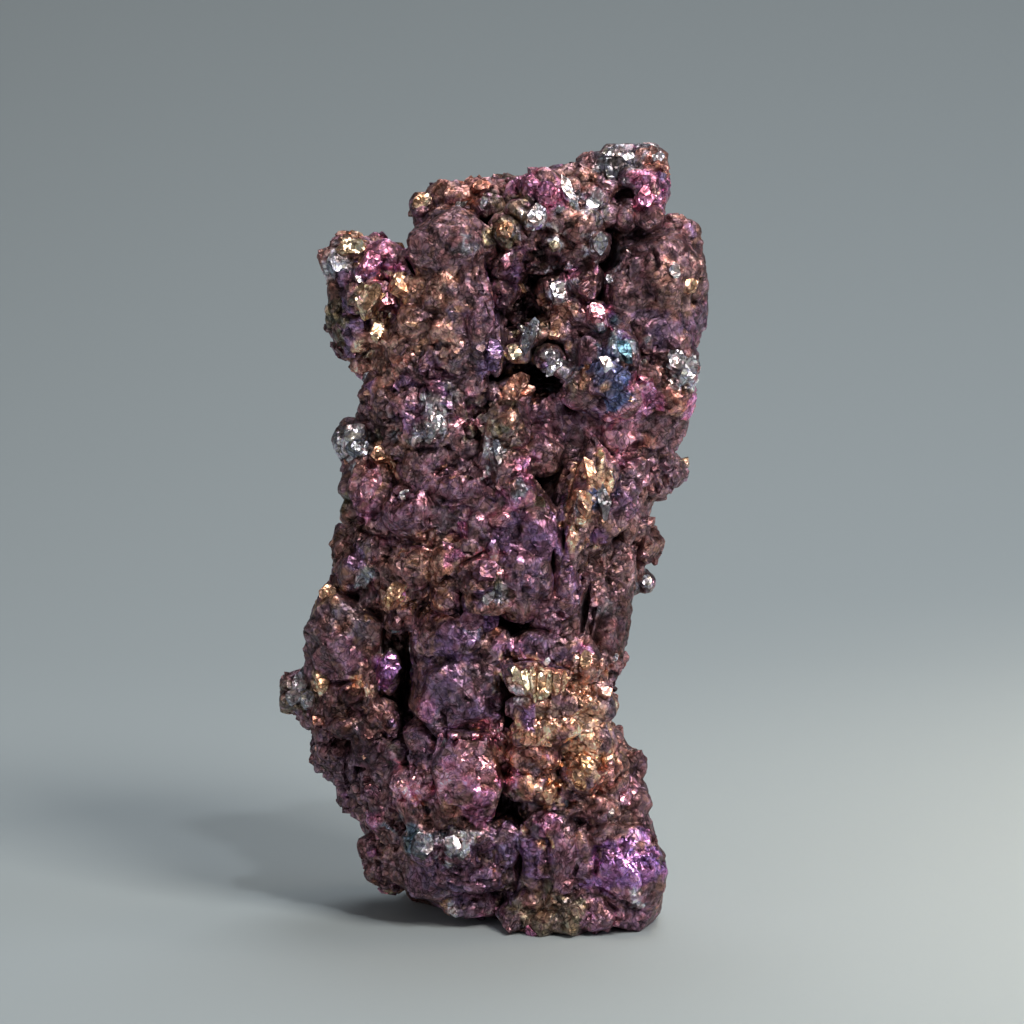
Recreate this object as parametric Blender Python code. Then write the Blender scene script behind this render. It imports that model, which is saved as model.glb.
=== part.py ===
"""A hand specimen of chalcocite: intergrown crystals crusted on one upright trunk.

The specimen is one natural piece, so it is one solid. It stands on a flat broken spot.
+Z is up, -Y is the front and the origin is the middle of the ground under it.
The crystals are worked in millimetres and turned to metres at the end.
"""

import math
import random

import bmesh
import bpy
from mathutils import Matrix, Vector

# Driving dimensions, in millimetres.
MILLIMETRE = 0.001
HEIGHT = 41.8
FRONT = -6.0  # depth of the foremost crystals
OVERLAP = 1.1  # the crystals of the front are this much larger than they show
TRIANGLES = 9600  # left in the solid before it is cut flat underneath

# The front is laid out as it looks from a little above the horizon, so that what lies
# deeper stands lower than it looks.
SIGHT_SLOPE = math.tan(math.radians(8))

# The trunk under the crystals, from the ground up:
# height, middle across, half width, reach to the front, reach to the back.
TRUNK = (
    (-1.0, 3.9, 3.9, 3.4, 3.6),
    (2.5, 2.0, 5.4, 3.9, 4.6),
    (6.0, 0.9, 6.0, 3.7, 5.0),
    (10.0, -0.8, 5.6, 3.5, 5.2),
    (13.0, -1.3, 5.8, 3.1, 5.0),
    (17.0, -0.8, 6.4, 3.1, 5.2),
    (21.0, 0.2, 6.6, 3.1, 5.4),
    (25.0, 1.2, 6.8, 2.9, 5.0),
    (29.0, 2.0, 6.6, 2.5, 4.6),
    (33.0, 2.8, 6.6, 2.1, 4.8),
    (36.5, 3.1, 5.8, 1.9, 4.2),
    (38.6, 2.9, 4.2, 1.2, 2.8),
)
TRUNK_SIDES = 16
SIDE_GROWTH = 1.35  # how far the crystals of the back stand out past the trunk's sides
CROWN = 38.4  # height that they reach at most, but for those that crown the back
LEFT_CROWN = 36.0  # the same over the arm at the left, which ends lower

# The large masses of the back: across, height, depth of the middle, half width,
# half depth, half height and number of flat faces.
BACK_MASSES = (
    (-2.0, 1.7, 2.6, 2.8, 2.6, 2.2, 18),
    (5.6, 2.2, 1.6, 3.2, 3.2, 2.8, 20),
    (-4.6, 6.4, 1.2, 2.8, 3.6, 3.2, 20),
    (1.2, 5.6, 3.4, 3.2, 2.4, 3.0, 20),
    (4.2, 9.2, 2.2, 2.4, 2.8, 3.0, 18),
    (-6.2, 12.2, 1.0, 3.4, 3.8, 3.4, 20),
    (-1.6, 11.6, 3.8, 3.0, 2.4, 3.6, 20),
    (3.2, 14.8, 3.2, 3.2, 2.4, 3.0, 20),
    (-4.8, 18.0, 2.4, 3.2, 3.0, 3.2, 20),
    (0.6, 19.8, 4.4, 3.0, 2.4, 2.8, 18),
    (6.0, 20.4, 1.6, 2.2, 3.0, 3.4, 18),
    (-4.6, 24.2, 1.6, 3.2, 3.2, 3.2, 20),
    (2.6, 25.6, 3.6, 3.4, 2.6, 3.2, 20),
    (7.4, 27.0, 1.2, 2.6, 3.0, 3.2, 18),
    (-2.2, 29.6, 2.4, 3.4, 2.8, 3.2, 20),
    (3.4, 32.0, 3.2, 3.0, 2.6, 3.0, 18),
    (8.6, 33.6, 1.0, 2.6, 3.2, 3.6, 20),
    (-1.4, 34.8, 1.8, 3.0, 2.6, 3.4, 20),
    (4.4, 37.2, 1.4, 3.4, 2.6, 2.6, 20),
    (-5.9, 33.8, 0.8, 1.9, 1.9, 2.6, 16),
)

# Where crystals crown the back: across, height of the tip, and depth.
TOP_OF_THE_BACK = (
    (-2.6, 38.4, 0.8),
    (-1.3, 38.9, 0.0),
    (-0.6, 38.5, 1.9),
    (0.6, 39.3, 0.4),
    (1.5, 39.0, 2.2),
    (2.6, 39.6, 0.6),
    (3.4, 39.2, 2.0),
    (4.4, 40.2, 0.5),
    (5.2, 39.7, 1.9),
    (6.2, 40.9, 0.3),
    (7.3, 40.6, 0.9),
    (7.2, 39.2, 2.2),
    (8.4, 39.6, 0.4),
)

# Each crystal of the front: across, height as seen, depth of its foremost point,
# half width, half height, lean to the right in degrees, and number of flat faces.
# Few faces make a blocky crystal and many make a rounded boulder.

# The large masses that the smaller crystals of the front have grown over.
FRONT_MASSES = (
    (-6.4, 34.2, -2.6, 2.0, 3.0, 0, 18),
    (-2.2, 33.6, -4.9, 2.7, 4.3, -3, 22),
    (-3.6, 31.2, -3.9, 2.6, 2.6, 30, 18),
    (-0.9, 38.7, -2.4, 2.5, 1.5, 0, 16),
    (2.2, 38.7, -2.6, 3.2, 1.9, 3, 18),
    (5.0, 39.4, -2.4, 2.8, 1.9, -12, 18),
    (7.2, 40.1, -2.0, 1.8, 1.7, 0, 16),
    (3.0, 37.2, -3.7, 3.0, 1.7, 0, 18),
    (8.6, 34.2, -3.9, 2.7, 4.0, 0, 24),
    (8.4, 29.6, -4.1, 2.3, 3.4, 5, 20),
    (6.1, 30.6, -4.9, 1.9, 2.7, 0, 18),
    (5.8, 27.2, -3.8, 3.9, 2.3, 0, 22),
    (-2.9, 28.3, -4.8, 3.9, 2.6, 8, 22),
    (-0.6, 25.6, -5.0, 3.4, 2.2, -10, 20),
    (-5.2, 24.0, -3.9, 2.6, 3.0, 0, 20),
    (-4.6, 19.9, -4.3, 3.4, 2.8, 10, 20),
    (-2.2, 22.6, -5.2, 2.8, 3.0, -20, 20),
    (1.2, 21.2, -6.0, 2.3, 4.6, -12, 22),
    (5.2, 23.4, -4.5, 2.9, 3.4, 12, 20),
    (5.6, 18.6, -3.5, 1.9, 4.6, 0, 18),
    (-1.6, 15.6, -5.4, 2.6, 2.3, 0, 20),
    (-1.7, 12.2, -5.4, 2.2, 3.3, 0, 20),
    (-7.2, 14.2, -3.4, 2.7, 4.0, 8, 22),
    (-1.9, 8.2, -5.8, 2.3, 4.0, -12, 22),
    (-4.9, 8.2, -4.3, 2.3, 4.2, -22, 20),
    (3.7, 12.2, -6.1, 2.7, 4.3, 0, 22),
    (3.9, 17.2, -5.0, 2.0, 2.2, 0, 16),
    (5.9, 8.3, -5.2, 1.8, 2.8, -4, 18),
    (3.6, 7.6, -5.8, 2.4, 2.2, 0, 18),
    (-1.6, 4.3, -5.3, 4.0, 2.5, -4, 22),
    (4.0, 3.6, -5.8, 3.5, 3.3, 0, 22),
    (6.9, 4.6, -5.0, 1.9, 3.4, 0, 18),
)
LEFT_ARM = (
    (-6.3, 34.5, -2.0, 1.9, 2.2, 0, 16),
    (-4.6, 33.6, -2.3, 1.5, 1.5, 0, 14),
    (-7.3, 36.9, -1.6, 0.95, 0.6, 15, 12),
    (-8.0, 36.1, -1.8, 0.75, 0.75, -30, 10),
    (-7.6, 35.2, -2.3, 0.75, 0.8, 0, 10),
    (-5.5, 36.1, -2.9, 1.0, 0.95, 20, 12),
    (-6.4, 35.6, -3.2, 0.7, 0.6, -35, 10),
    (-6.4, 34.2, -3.5, 1.05, 0.65, -12, 10),
    (-8.0, 33.2, -1.9, 0.55, 1.25, -5, 12),
    (-6.9, 32.4, -3.0, 1.1, 0.95, 20, 12),
    (-5.9, 32.2, -3.2, 0.55, 0.6, 0, 10),
    (-7.6, 31.6, -2.0, 0.6, 0.5, 30, 10),
    (-4.6, 34.7, -2.9, 0.8, 0.8, 40, 12),
    (-5.7, 30.9, -2.4, 1.3, 1.1, 0, 14),
)
BOULDER_AND_SHAFT = (
    (-2.1, 36.8, -5.3, 1.95, 1.65, -10, 14),
    (-2.0, 38.1, -3.9, 1.25, 0.75, 0, 14),
    (-2.3, 34.2, -5.4, 1.05, 1.15, 15, 14),
    (-1.0, 34.2, -5.3, 0.85, 1.4, 0, 14),
    (-3.6, 32.9, -5.0, 1.1, 0.95, -40, 12),
    (-2.2, 32.4, -5.4, 0.95, 1.1, 0, 12),
    (-0.5, 32.9, -5.5, 0.5, 3.0, -3, 12),
    (-4.6, 31.8, -4.3, 0.85, 1.0, 20, 12),
    (-1.5, 31.1, -5.4, 0.9, 1.0, 0, 12),
    (-3.0, 30.9, -5.0, 0.9, 0.9, 45, 10),
    (-4.2, 30.4, -4.6, 1.0, 0.9, 0, 12),
    (0.25, 31.0, -5.5, 0.42, 0.85, -12, 12),
)
TOP_CRUST = (
    (-3.6, 39.1, -2.2, 0.5, 0.45, 0, 10),
    (-3.1, 38.4, -2.0, 0.75, 0.75, 0, 12),
    (-2.6, 39.7, -2.0, 0.75, 0.55, -15, 12),
    (-1.5, 39.5, -2.6, 0.8, 0.65, 20, 10),
    (-0.4, 40.0, -2.3, 0.85, 0.65, 10, 12),
    (0.6, 40.1, -2.0, 0.8, 0.55, 0, 12),
    (0.0, 39.0, -3.1, 0.7, 0.5, 0, 10),
    (1.4, 39.8, -2.6, 0.85, 0.6, -20, 12),
    (2.9, 39.8, -3.9, 1.1, 0.95, 15, 14),
    (3.9, 40.5, -2.4, 0.9, 0.7, -15, 12),
    (4.25, 39.6, -4.1, 0.3, 0.75, 18, 10),
    (5.1, 40.5, -2.7, 0.85, 0.95, -20, 12),
    (5.5, 41.3, -2.0, 0.75, 0.65, 0, 10),
    (6.3, 40.9, -2.5, 0.8, 0.95, 25, 12),
    (6.9, 41.7, -2.2, 1.1, 0.6, 0, 12),
    (8.2, 41.5, -2.3, 0.9, 0.7, 10, 12),
    (8.8, 40.7, -2.6, 0.5, 0.9, 0, 10),
    (8.4, 39.9, -3.3, 0.75, 1.1, -15, 12),
    (8.4, 38.6, -3.8, 0.7, 0.85, 20, 12),
    (5.3, 39.3, -3.4, 0.8, 0.7, 0, 12),
    (6.4, 39.9, -2.9, 0.6, 0.6, -20, 10),
    (7.3, 40.6, -3.0, 0.6, 0.5, 0, 12),
    (7.1, 38.5, -3.6, 0.55, 0.75, 0, 12),
    (6.2, 38.6, -3.5, 0.6, 0.5, 30, 10),
)
CAVITY = (
    (0.9, 37.6, -4.4, 0.6, 0.8, -20, 12),
    (2.4, 38.3, -4.8, 0.42, 0.5, 30, 10),
    (1.6, 38.7, -4.1, 0.7, 0.55, 0, 10),
    (3.7, 38.4, -4.2, 0.8, 0.8, 0, 10),
    (4.9, 37.9, -4.4, 0.85, 0.8, -15, 12),
    (5.7, 36.8, -4.8, 0.42, 0.6, 20, 10),
    (3.4, 36.9, -4.3, 0.6, 0.5, 0, 10),
    (2.2, 37.1, -3.7, 0.9, 0.9, 0, 10),
    (4.4, 36.4, -4.1, 0.75, 0.8, 25, 12),
    (5.0, 35.1, -4.6, 0.75, 0.9, -10, 12),
    (1.0, 35.9, -4.1, 0.9, 0.95, 0, 12),
    (0.8, 34.5, -4.4, 0.7, 0.7, 30, 12),
    (3.6, 34.5, -3.8, 1.0, 0.9, 0, 12),
    (4.7, 33.5, -4.1, 0.8, 0.9, 0, 10),
    (5.7, 33.0, -4.9, 0.42, 0.75, -10, 12),
    (3.7, 32.6, -3.9, 1.0, 0.8, 0, 10),
    (2.2, 32.1, -4.5, 0.85, 0.35, -35, 10),
    (1.4, 31.3, -4.8, 0.6, 0.5, 0, 12),
    (3.2, 31.0, -4.9, 0.65, 0.5, 0, 10),
    (3.8, 30.3, -5.0, 0.5, 0.42, -25, 10),
    (4.9, 31.6, -4.4, 0.8, 0.8, 0, 12),
)
RIGHT_LOBE = (
    (8.9, 35.1, -4.7, 2.45, 2.5, 0, 24),
    (9.9, 37.3, -3.0, 1.1, 1.1, -30, 18),
    (10.0, 33.0, -3.4, 1.25, 1.5, 15, 18),
    (8.9, 32.4, -4.5, 1.5, 1.3, 0, 18),
    (6.9, 34.0, -4.6, 0.85, 1.6, 5, 14),
    (9.6, 30.9, -3.9, 1.25, 1.2, 20, 14),
    (10.1, 30.3, -4.3, 0.72, 0.85, -20, 10),
    (9.5, 28.9, -4.4, 1.05, 0.95, -15, 16),
    (8.1, 29.6, -4.9, 1.0, 1.2, 25, 14),
)
BLUE_LOBE = (
    (6.7, 31.3, -5.3, 0.95, 1.1, -15, 14),
    (5.4, 31.1, -5.1, 0.75, 0.8, 0, 12),
    (6.2, 29.8, -5.9, 1.15, 1.0, 0, 14),
    (4.9, 29.2, -5.3, 1.05, 0.85, -30, 14),
    (7.0, 28.8, -5.7, 1.1, 0.85, 15, 14),
    (5.8, 28.4, -5.3, 1.1, 0.6, 0, 12),
)
UNDER_THE_LOBES = (
    (1.4, 29.1, -4.3, 1.0, 0.6, 35, 12),
    (2.9, 27.9, -4.0, 1.3, 1.1, -30, 14),
    (4.6, 27.2, -4.0, 1.1, 1.0, 0, 12),
    (6.8, 27.0, -4.2, 1.5, 0.85, -38, 16),
    (2.8, 26.0, -4.9, 1.05, 1.2, -25, 14),
    (4.2, 25.6, -3.9, 0.9, 0.8, 0, 10),
    (9.2, 27.4, -3.0, 1.15, 1.2, 0, 14),
    (8.5, 26.1, -2.9, 1.1, 1.1, 20, 12),
    (9.6, 25.0, -2.0, 0.75, 0.65, 0, 12),
    (8.5, 24.5, -2.6, 0.9, 0.9, 0, 12),
    (8.0, 23.2, -2.2, 0.65, 0.75, 0, 10),
)
LEFT_SHOULDER = (
    (-5.6, 29.4, -3.0, 0.95, 0.75, 15, 12),
    (-5.7, 28.3, -3.4, 1.15, 0.8, -30, 12),
    (-6.4, 27.3, -2.9, 0.8, 0.7, 0, 10),
    (-7.3, 26.6, -2.9, 0.85, 0.85, 35, 12),
    (-5.4, 26.0, -3.8, 0.75, 0.7, 0, 12),
    (-4.5, 26.7, -4.6, 0.8, 1.15, 15, 14),
    (-3.9, 28.7, -4.7, 0.95, 1.15, 20, 12),
    (-2.3, 28.7, -5.4, 1.15, 1.0, -10, 14),
    (-2.8, 27.2, -5.6, 0.5, 0.85, -20, 10),
    (-1.0, 29.3, -5.3, 0.75, 0.9, 0, 12),
    (-1.6, 27.0, -5.2, 0.85, 0.95, 15, 12),
    (0.8, 27.4, -5.9, 1.2, 1.0, -25, 10),
    (-3.3, 25.8, -5.3, 1.1, 0.95, 30, 14),
    (-0.4, 25.5, -5.4, 0.9, 0.95, -20, 12),
    (0.3, 25.8, -5.9, 0.25, 0.6, 12, 10),
    (0.1, 28.8, -5.0, 0.7, 0.7, 0, 10),
)
LEFT_FLANK = (
    (-6.4, 23.8, -4.1, 0.95, 1.25, -15, 12),
    (-7.3, 24.1, -2.9, 0.7, 0.85, 0, 12),
    (-7.2, 22.8, -3.0, 0.6, 0.95, 0, 12),
    (-5.8, 22.1, -3.9, 0.55, 0.6, -30, 10),
    (-4.2, 22.8, -5.6, 1.3, 1.4, 10, 18),
    (-3.7, 24.7, -5.1, 1.1, 0.85, 25, 12),
    (-1.7, 24.0, -5.8, 1.25, 0.95, -15, 14),
    (-2.6, 22.3, -5.3, 0.8, 0.75, 0, 12),
    (-3.9, 19.9, -5.2, 1.15, 1.0, -10, 14),
    (-5.9, 20.6, -4.1, 0.75, 0.75, 0, 12),
    (-7.9, 21.1, -2.3, 0.5, 0.75, 0, 12),
    (-7.2, 19.5, -3.6, 0.75, 0.95, 15, 12),
    (-6.2, 18.4, -3.7, 0.5, 0.75, 10, 10),
    (-4.8, 18.3, -4.6, 0.75, 0.42, -25, 10),
    (-4.7, 17.1, -4.5, 0.85, 0.7, 0, 12),
    (-8.6, 18.2, -2.7, 0.5, 0.5, 0, 12),
)
KEEL = (
    (0.9, 25.2, -6.0, 0.75, 0.65, -35, 10),
    (1.4, 24.0, -6.3, 0.75, 1.35, -25, 12),
    (2.3, 21.9, -6.3, 1.3, 2.1, -18, 18),
    (0.9, 22.4, -6.2, 0.95, 0.75, 0, 12),
    (1.7, 19.5, -6.7, 1.4, 1.6, -12, 18),
    (-0.4, 22.0, -6.0, 0.7, 0.75, 25, 12),
    (-1.3, 20.9, -6.1, 1.1, 0.5, -30, 12),
    (-0.3, 19.2, -6.8, 1.1, 1.0, 0, 14),
    (-2.1, 19.9, -5.9, 0.95, 1.3, 10, 14),
    (-2.2, 18.2, -5.7, 0.75, 0.75, 0, 12),
    (-0.1, 17.9, -6.9, 1.15, 0.45, 5, 12),
    (1.4, 17.9, -6.4, 0.9, 0.75, 30, 12),
)
PILLAR = (
    (-1.5, 16.1, -6.1, 1.6, 1.1, 10, 16),
    (-3.0, 15.4, -5.4, 1.15, 1.2, 30, 14),
    (0.1, 15.8, -5.7, 0.85, 1.0, 0, 14),
    (-1.9, 12.9, -6.5, 2.0, 1.85, 0, 14),
    (-0.1, 13.7, -5.9, 0.5, 1.1, -5, 12),
    (0.2, 11.8, -5.6, 0.6, 0.7, 0, 10),
    (0.5, 13.0, -5.3, 0.6, 0.9, 0, 12),
    (0.7, 14.6, -5.3, 0.7, 0.8, 0, 10),
    (0.9, 10.6, -5.4, 0.6, 0.8, 0, 10),
    (-3.5, 10.5, -5.5, 0.7, 1.15, -20, 12),
    (-1.15, 8.6, -7.2, 1.65, 2.25, -4, 11),
    (0.6, 9.8, -5.6, 0.7, 1.4, -12, 12),
    (-3.4, 8.2, -5.9, 0.65, 0.7, 0, 14),
    (-4.8, 8.4, -5.0, 0.55, 0.6, 20, 10),
    (-4.2, 6.9, -5.6, 0.6, 1.5, -32, 12),
    (-3.6, 4.9, -6.1, 0.9, 0.95, 0, 16),
    (-5.4, 6.4, -4.3, 1.0, 1.6, -15, 14),
    (-1.7, 4.7, -6.2, 0.75, 1.1, 10, 12),
    (-0.5, 5.4, -5.9, 1.0, 0.7, 20, 12),
    (0.8, 4.9, -5.9, 0.8, 1.2, 25, 12),
    (-0.8, 3.2, -5.7, 1.9, 0.85, 0, 16),
    (-3.4, 2.9, -4.9, 1.3, 0.9, 15, 14),
)
STACKED_PLATES = (
    (3.0, 15.5, -6.0, 1.8, 0.8, 5, 14),
    (2.6, 13.8, -7.0, 1.5, 0.75, 4, 14),
    (4.9, 14.8, -6.1, 0.8, 1.2, -15, 12),
    (3.0, 12.5, -6.7, 1.9, 0.7, -5, 14),
    (5.3, 12.5, -5.9, 1.2, 0.95, 0, 14),
    (2.9, 11.2, -6.9, 1.7, 0.75, -4, 14),
    (5.3, 10.6, -6.1, 1.15, 0.8, 10, 14),
    (2.3, 9.7, -6.8, 1.2, 0.8, 0, 14),
    (2.0, 8.2, -6.7, 1.0, 0.75, 8, 12),
    (4.9, 8.8, -6.7, 0.85, 1.0, 0, 14),
    (6.3, 8.7, -5.7, 0.9, 1.2, -10, 14),
    (3.2, 7.7, -6.5, 0.75, 0.45, -10, 10),
    (4.0, 7.0, -6.3, 0.9, 0.5, -15, 12),
    (5.8, 6.9, -6.2, 0.95, 0.7, 10, 14),
    (3.3, 16.9, -5.5, 0.95, 0.7, 20, 14),
    (4.1, 18.7, -5.7, 0.45, 1.6, -4, 12),
    (4.4, 20.6, -5.4, 0.6, 0.9, 10, 12),
)
DIAGONAL_BLADE = (
    (5.1, 23.6, -5.9, 0.7, 2.6, 14, 14),
    (5.9, 23.9, -5.3, 0.5, 1.4, 14, 12),
    (3.6, 22.1, -5.4, 0.35, 1.5, 14, 12),
    (6.8, 22.9, -4.9, 0.65, 1.8, 26, 14),
    (7.4, 24.9, -4.5, 0.95, 0.75, 20, 12),
    (4.3, 24.1, -4.6, 0.6, 1.2, 20, 10),
)
RIGHT_WALL = (
    (6.7, 17.6, -3.5, 0.75, 3.3, 4, 18),
    (5.9, 17.9, -4.0, 0.8, 1.2, 0, 14),
    (6.1, 15.5, -4.2, 0.85, 1.6, 5, 14),
    (8.4, 20.9, -2.2, 0.6, 0.8, 10, 12),
    (7.8, 21.8, -2.4, 0.5, 0.7, 0, 10),
    (8.3, 19.0, -1.9, 0.4, 0.42, 0, 14),
    (7.7, 19.2, -2.0, 0.45, 0.9, 20, 10),
    (6.0, 12.9, -3.9, 0.75, 1.2, 0, 12),
)
LOWER_RIGHT = (
    (7.2, 7.3, -4.7, 1.2, 1.1, 0, 14),
    (7.4, 8.9, -3.7, 0.8, 0.85, 10, 10),
    (7.4, 3.4, -6.5, 1.9, 2.05, 0, 18),
    (6.2, 5.4, -6.2, 1.0, 0.65, 0, 12),
    (8.0, 4.8, -5.1, 0.8, 0.85, 0, 12),
    (2.4, 4.3, -6.4, 0.65, 1.9, -3, 14),
    (3.8, 4.2, -6.5, 0.7, 1.8, 3, 14),
    (5.0, 3.9, -6.2, 0.65, 1.6, 0, 12),
    (3.2, 6.1, -6.6, 0.9, 0.7, 0, 12),
)
GROUND_RIM = (
    (1.5, 0.9, -6.0, 0.9, 0.7, -10, 12),
    (2.8, 0.7, -6.4, 1.0, 0.75, 5, 12),
    (4.2, 0.8, -6.6, 1.1, 0.85, 0, 12),
    (5.6, 1.1, -6.4, 0.9, 0.8, 12, 12),
    (2.2, 1.8, -5.9, 0.9, 0.6, 0, 12),
    (3.9, 1.9, -6.2, 1.0, 0.55, 0, 12),
    (5.4, 2.0, -6.0, 0.9, 0.6, -10, 12),
    (7.4, 1.3, -5.9, 1.5, 1.1, 5, 16),
    (8.3, 2.0, -5.0, 0.8, 1.2, 0, 12),
    (-0.9, 1.7, -4.6, 1.3, 0.7, 0, 14),
)
LOWER_LEFT = (
    (-7.8, 15.9, -4.5, 1.9, 1.95, 10, 15),
    (-9.4, 15.3, -2.4, 0.6, 0.55, 0, 10),
    (-8.6, 17.2, -3.2, 0.9, 0.9, 0, 12),
    (-5.4, 14.1, -4.4, 0.5, 1.0, 10, 12),
    (-7.3, 12.3, -4.0, 1.9, 1.5, 0, 16),
    (-5.9, 11.7, -4.7, 0.95, 0.85, 0, 12),
    (-8.2, 12.7, -4.0, 0.7, 0.6, 20, 10),
    (-7.1, 12.9, -4.6, 0.8, 0.7, -15, 12),
    (-7.6, 11.3, -4.4, 0.75, 0.7, 0, 12),
    (-6.4, 13.3, -4.3, 0.6, 0.7, 0, 10),
    (-8.8, 11.4, -3.2, 0.7, 0.8, 0, 10),
    (-10.3, 12.9, -1.9, 0.95, 0.95, 0, 14),
    (-9.2, 12.2, -2.4, 1.0, 1.2, 0, 12),
    (-8.9, 13.4, -3.3, 0.3, 0.65, -12, 10),
    (-6.3, 10.2, -4.4, 1.0, 1.0, 0, 14),
    (-8.1, 9.9, -2.8, 1.3, 1.4, -20, 14),
    (-5.0, 9.7, -4.5, 0.5, 0.5, 0, 10),
    (-6.9, 7.6, -2.9, 1.1, 1.4, -20, 14),
    (-5.6, 3.7, -2.9, 1.1, 1.4, -20, 14),
)
FRONT_CRYSTALS = (
    LEFT_ARM
    + BOULDER_AND_SHAFT
    + TOP_CRUST
    + CAVITY
    + RIGHT_LOBE
    + BLUE_LOBE
    + UNDER_THE_LOBES
    + LEFT_SHOULDER
    + LEFT_FLANK
    + KEEL
    + PILLAR
    + STACKED_PLATES
    + DIAGONAL_BLADE
    + RIGHT_WALL
    + LOWER_RIGHT
    + GROUND_RIM
    + LOWER_LEFT
)

# Clefts and pits between the crystals: across, height as seen, depth of the middle,
# half width, half depth, half height and lean to the right in degrees.
HOLLOWS = (
    (2.5, 29.9, -3.6, 1.55, 2.9, 0.72, 12),
    (1.9, 33.5, -3.8, 0.95, 2.4, 0.9, 20),
    (-4.55, 13.8, -4.2, 0.45, 2.7, 3.1, 3),
    (1.4, 16.5, -5.4, 0.5, 2.0, 0.6, 40),
    (3.35, 19.6, -5.2, 0.2, 1.8, 1.5, 0),
    (6.7, 21.2, -4.2, 0.75, 1.8, 0.4, -48),
    (5.1, 17.8, -4.6, 0.28, 1.7, 2.0, 8),
    (1.5, 3.2, -5.3, 0.22, 1.8, 1.4, 8),
    (0.75, 11.9, -5.6, 0.15, 1.2, 1.2, 0),
    (6.8, 39.3, -3.6, 0.55, 1.8, 0.7, 30),
    (-4.2, 35.7, -3.2, 0.26, 1.5, 0.75, -30),
    (0.1, 4.7, -6.1, 0.5, 0.9, 0.22, 45),
)


def ground_height(seen, depth):
    """Height above the ground of a point that looks this high and lies this deep."""
    return seen - (depth - FRONT) * SIGHT_SLOPE


def trunk_reach(height):
    """The trunk's middle across, half width, front reach and back reach at a height."""
    for low, high in zip(TRUNK, TRUNK[1:]):
        if height <= high[0]:
            share = (height - low[0]) / (high[0] - low[0])
            share = min(1.0, max(0.0, share))
            return [a + share * (b - a) for a, b in zip(low[1:], high[1:])]
    return list(TRUNK[-1][1:])


def shaken_directions(count, rng):
    """Evenly spread unit vectors, turned and shaken, so that no two crystals match."""
    golden_angle = math.pi * (3 - math.sqrt(5))
    shake = 0.22
    spin = Matrix.Rotation(rng.uniform(0, math.tau), 3, "X")
    spin @= Matrix.Rotation(rng.uniform(0, math.tau), 3, "Z")
    for i in range(count):
        up = 1 - 2 * (i + 0.5) / count
        out = math.sqrt(1 - up * up)
        turn = golden_angle * i
        direction = spin @ Vector((out * math.cos(turn), out * math.sin(turn), up))
        direction += Vector([rng.uniform(-shake, shake) for _ in range(3)])
        yield direction.normalized()


def cut_crystal(target, centre, half_sizes, lean, faces, rng):
    """Adds one crystal to target: a block trimmed by flat faces, stretched and leant."""
    block = bmesh.new()
    bmesh.ops.create_cube(block, size=2.2)
    roughness = 1.6 / faces
    for normal in shaken_directions(faces, rng):
        reach = rng.uniform(1 - roughness, 1.0)
        cut = bmesh.ops.bisect_plane(
            block,
            geom=block.verts[:] + block.edges[:] + block.faces[:],
            plane_co=normal * reach,
            plane_no=normal,
            clear_outer=True,
            dist=1e-5,
        )
        rim = [item for item in cut["geom_cut"] if isinstance(item, bmesh.types.BMEdge)]
        if rim:
            bmesh.ops.contextual_create(block, geom=rim)
    stretch = Matrix.Diagonal(Vector(half_sizes).to_4d())
    turn = Matrix.Rotation(math.radians(lean), 4, "Y")
    bmesh.ops.transform(
        block, matrix=Matrix.Translation(centre) @ turn @ stretch, verts=block.verts
    )
    mesh = bpy.data.meshes.new("crystal")
    block.to_mesh(mesh)
    block.free()
    target.from_mesh(mesh)
    bpy.data.meshes.remove(mesh)


def skin_depth(across, seen, masses):
    """Depth of the trunk and masses where something at this place would stand on them."""
    middle, half_trunk, front_reach, _ = trunk_reach(seen)
    inward = max(0.0, 1 - ((across - middle) / half_trunk) ** 2)
    skin = -front_reach * math.sqrt(inward)
    for mass_across, mass_seen, depth, half_width, half_depth, half_height in masses:
        sideways = (across - mass_across) / half_width
        upwards = (seen - mass_seen) / half_height
        inward = 1 - sideways**2 - upwards**2
        if inward > 0:
            skin = min(skin, depth - half_depth * math.sqrt(inward))
    return skin


def add_front_crystal(target, row, masses, rng):
    """Adds one crystal of the front, deep enough to root, and returns its middle and size."""
    across, seen, face, half_width, half_height, lean, faces = row
    rooted = (skin_depth(across, seen, masses) + 0.7 - face) / 2
    half_depth = max(0.8 * min(half_width, half_height) + 0.2, min(rooted, 2.8))
    depth = face + half_depth
    centre = Vector((across, depth, ground_height(seen, depth)))
    sizes = (half_width, half_depth, half_height)
    cut_crystal(target, centre, sizes, lean, faces, rng)
    return across, seen, depth, half_width, half_depth, half_height


def add_front(target, rng):
    """The masses of the front, and the crystals that stand on them."""
    masses = []
    for row in FRONT_MASSES:
        masses.append(add_front_crystal(target, row, masses, rng))
    for across, seen, face, half_width, half_height, *shape in FRONT_CRYSTALS:
        sizes = (half_width * OVERLAP, half_height * OVERLAP)
        add_front_crystal(target, (across, seen, face, *sizes, *shape), masses, rng)


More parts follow.
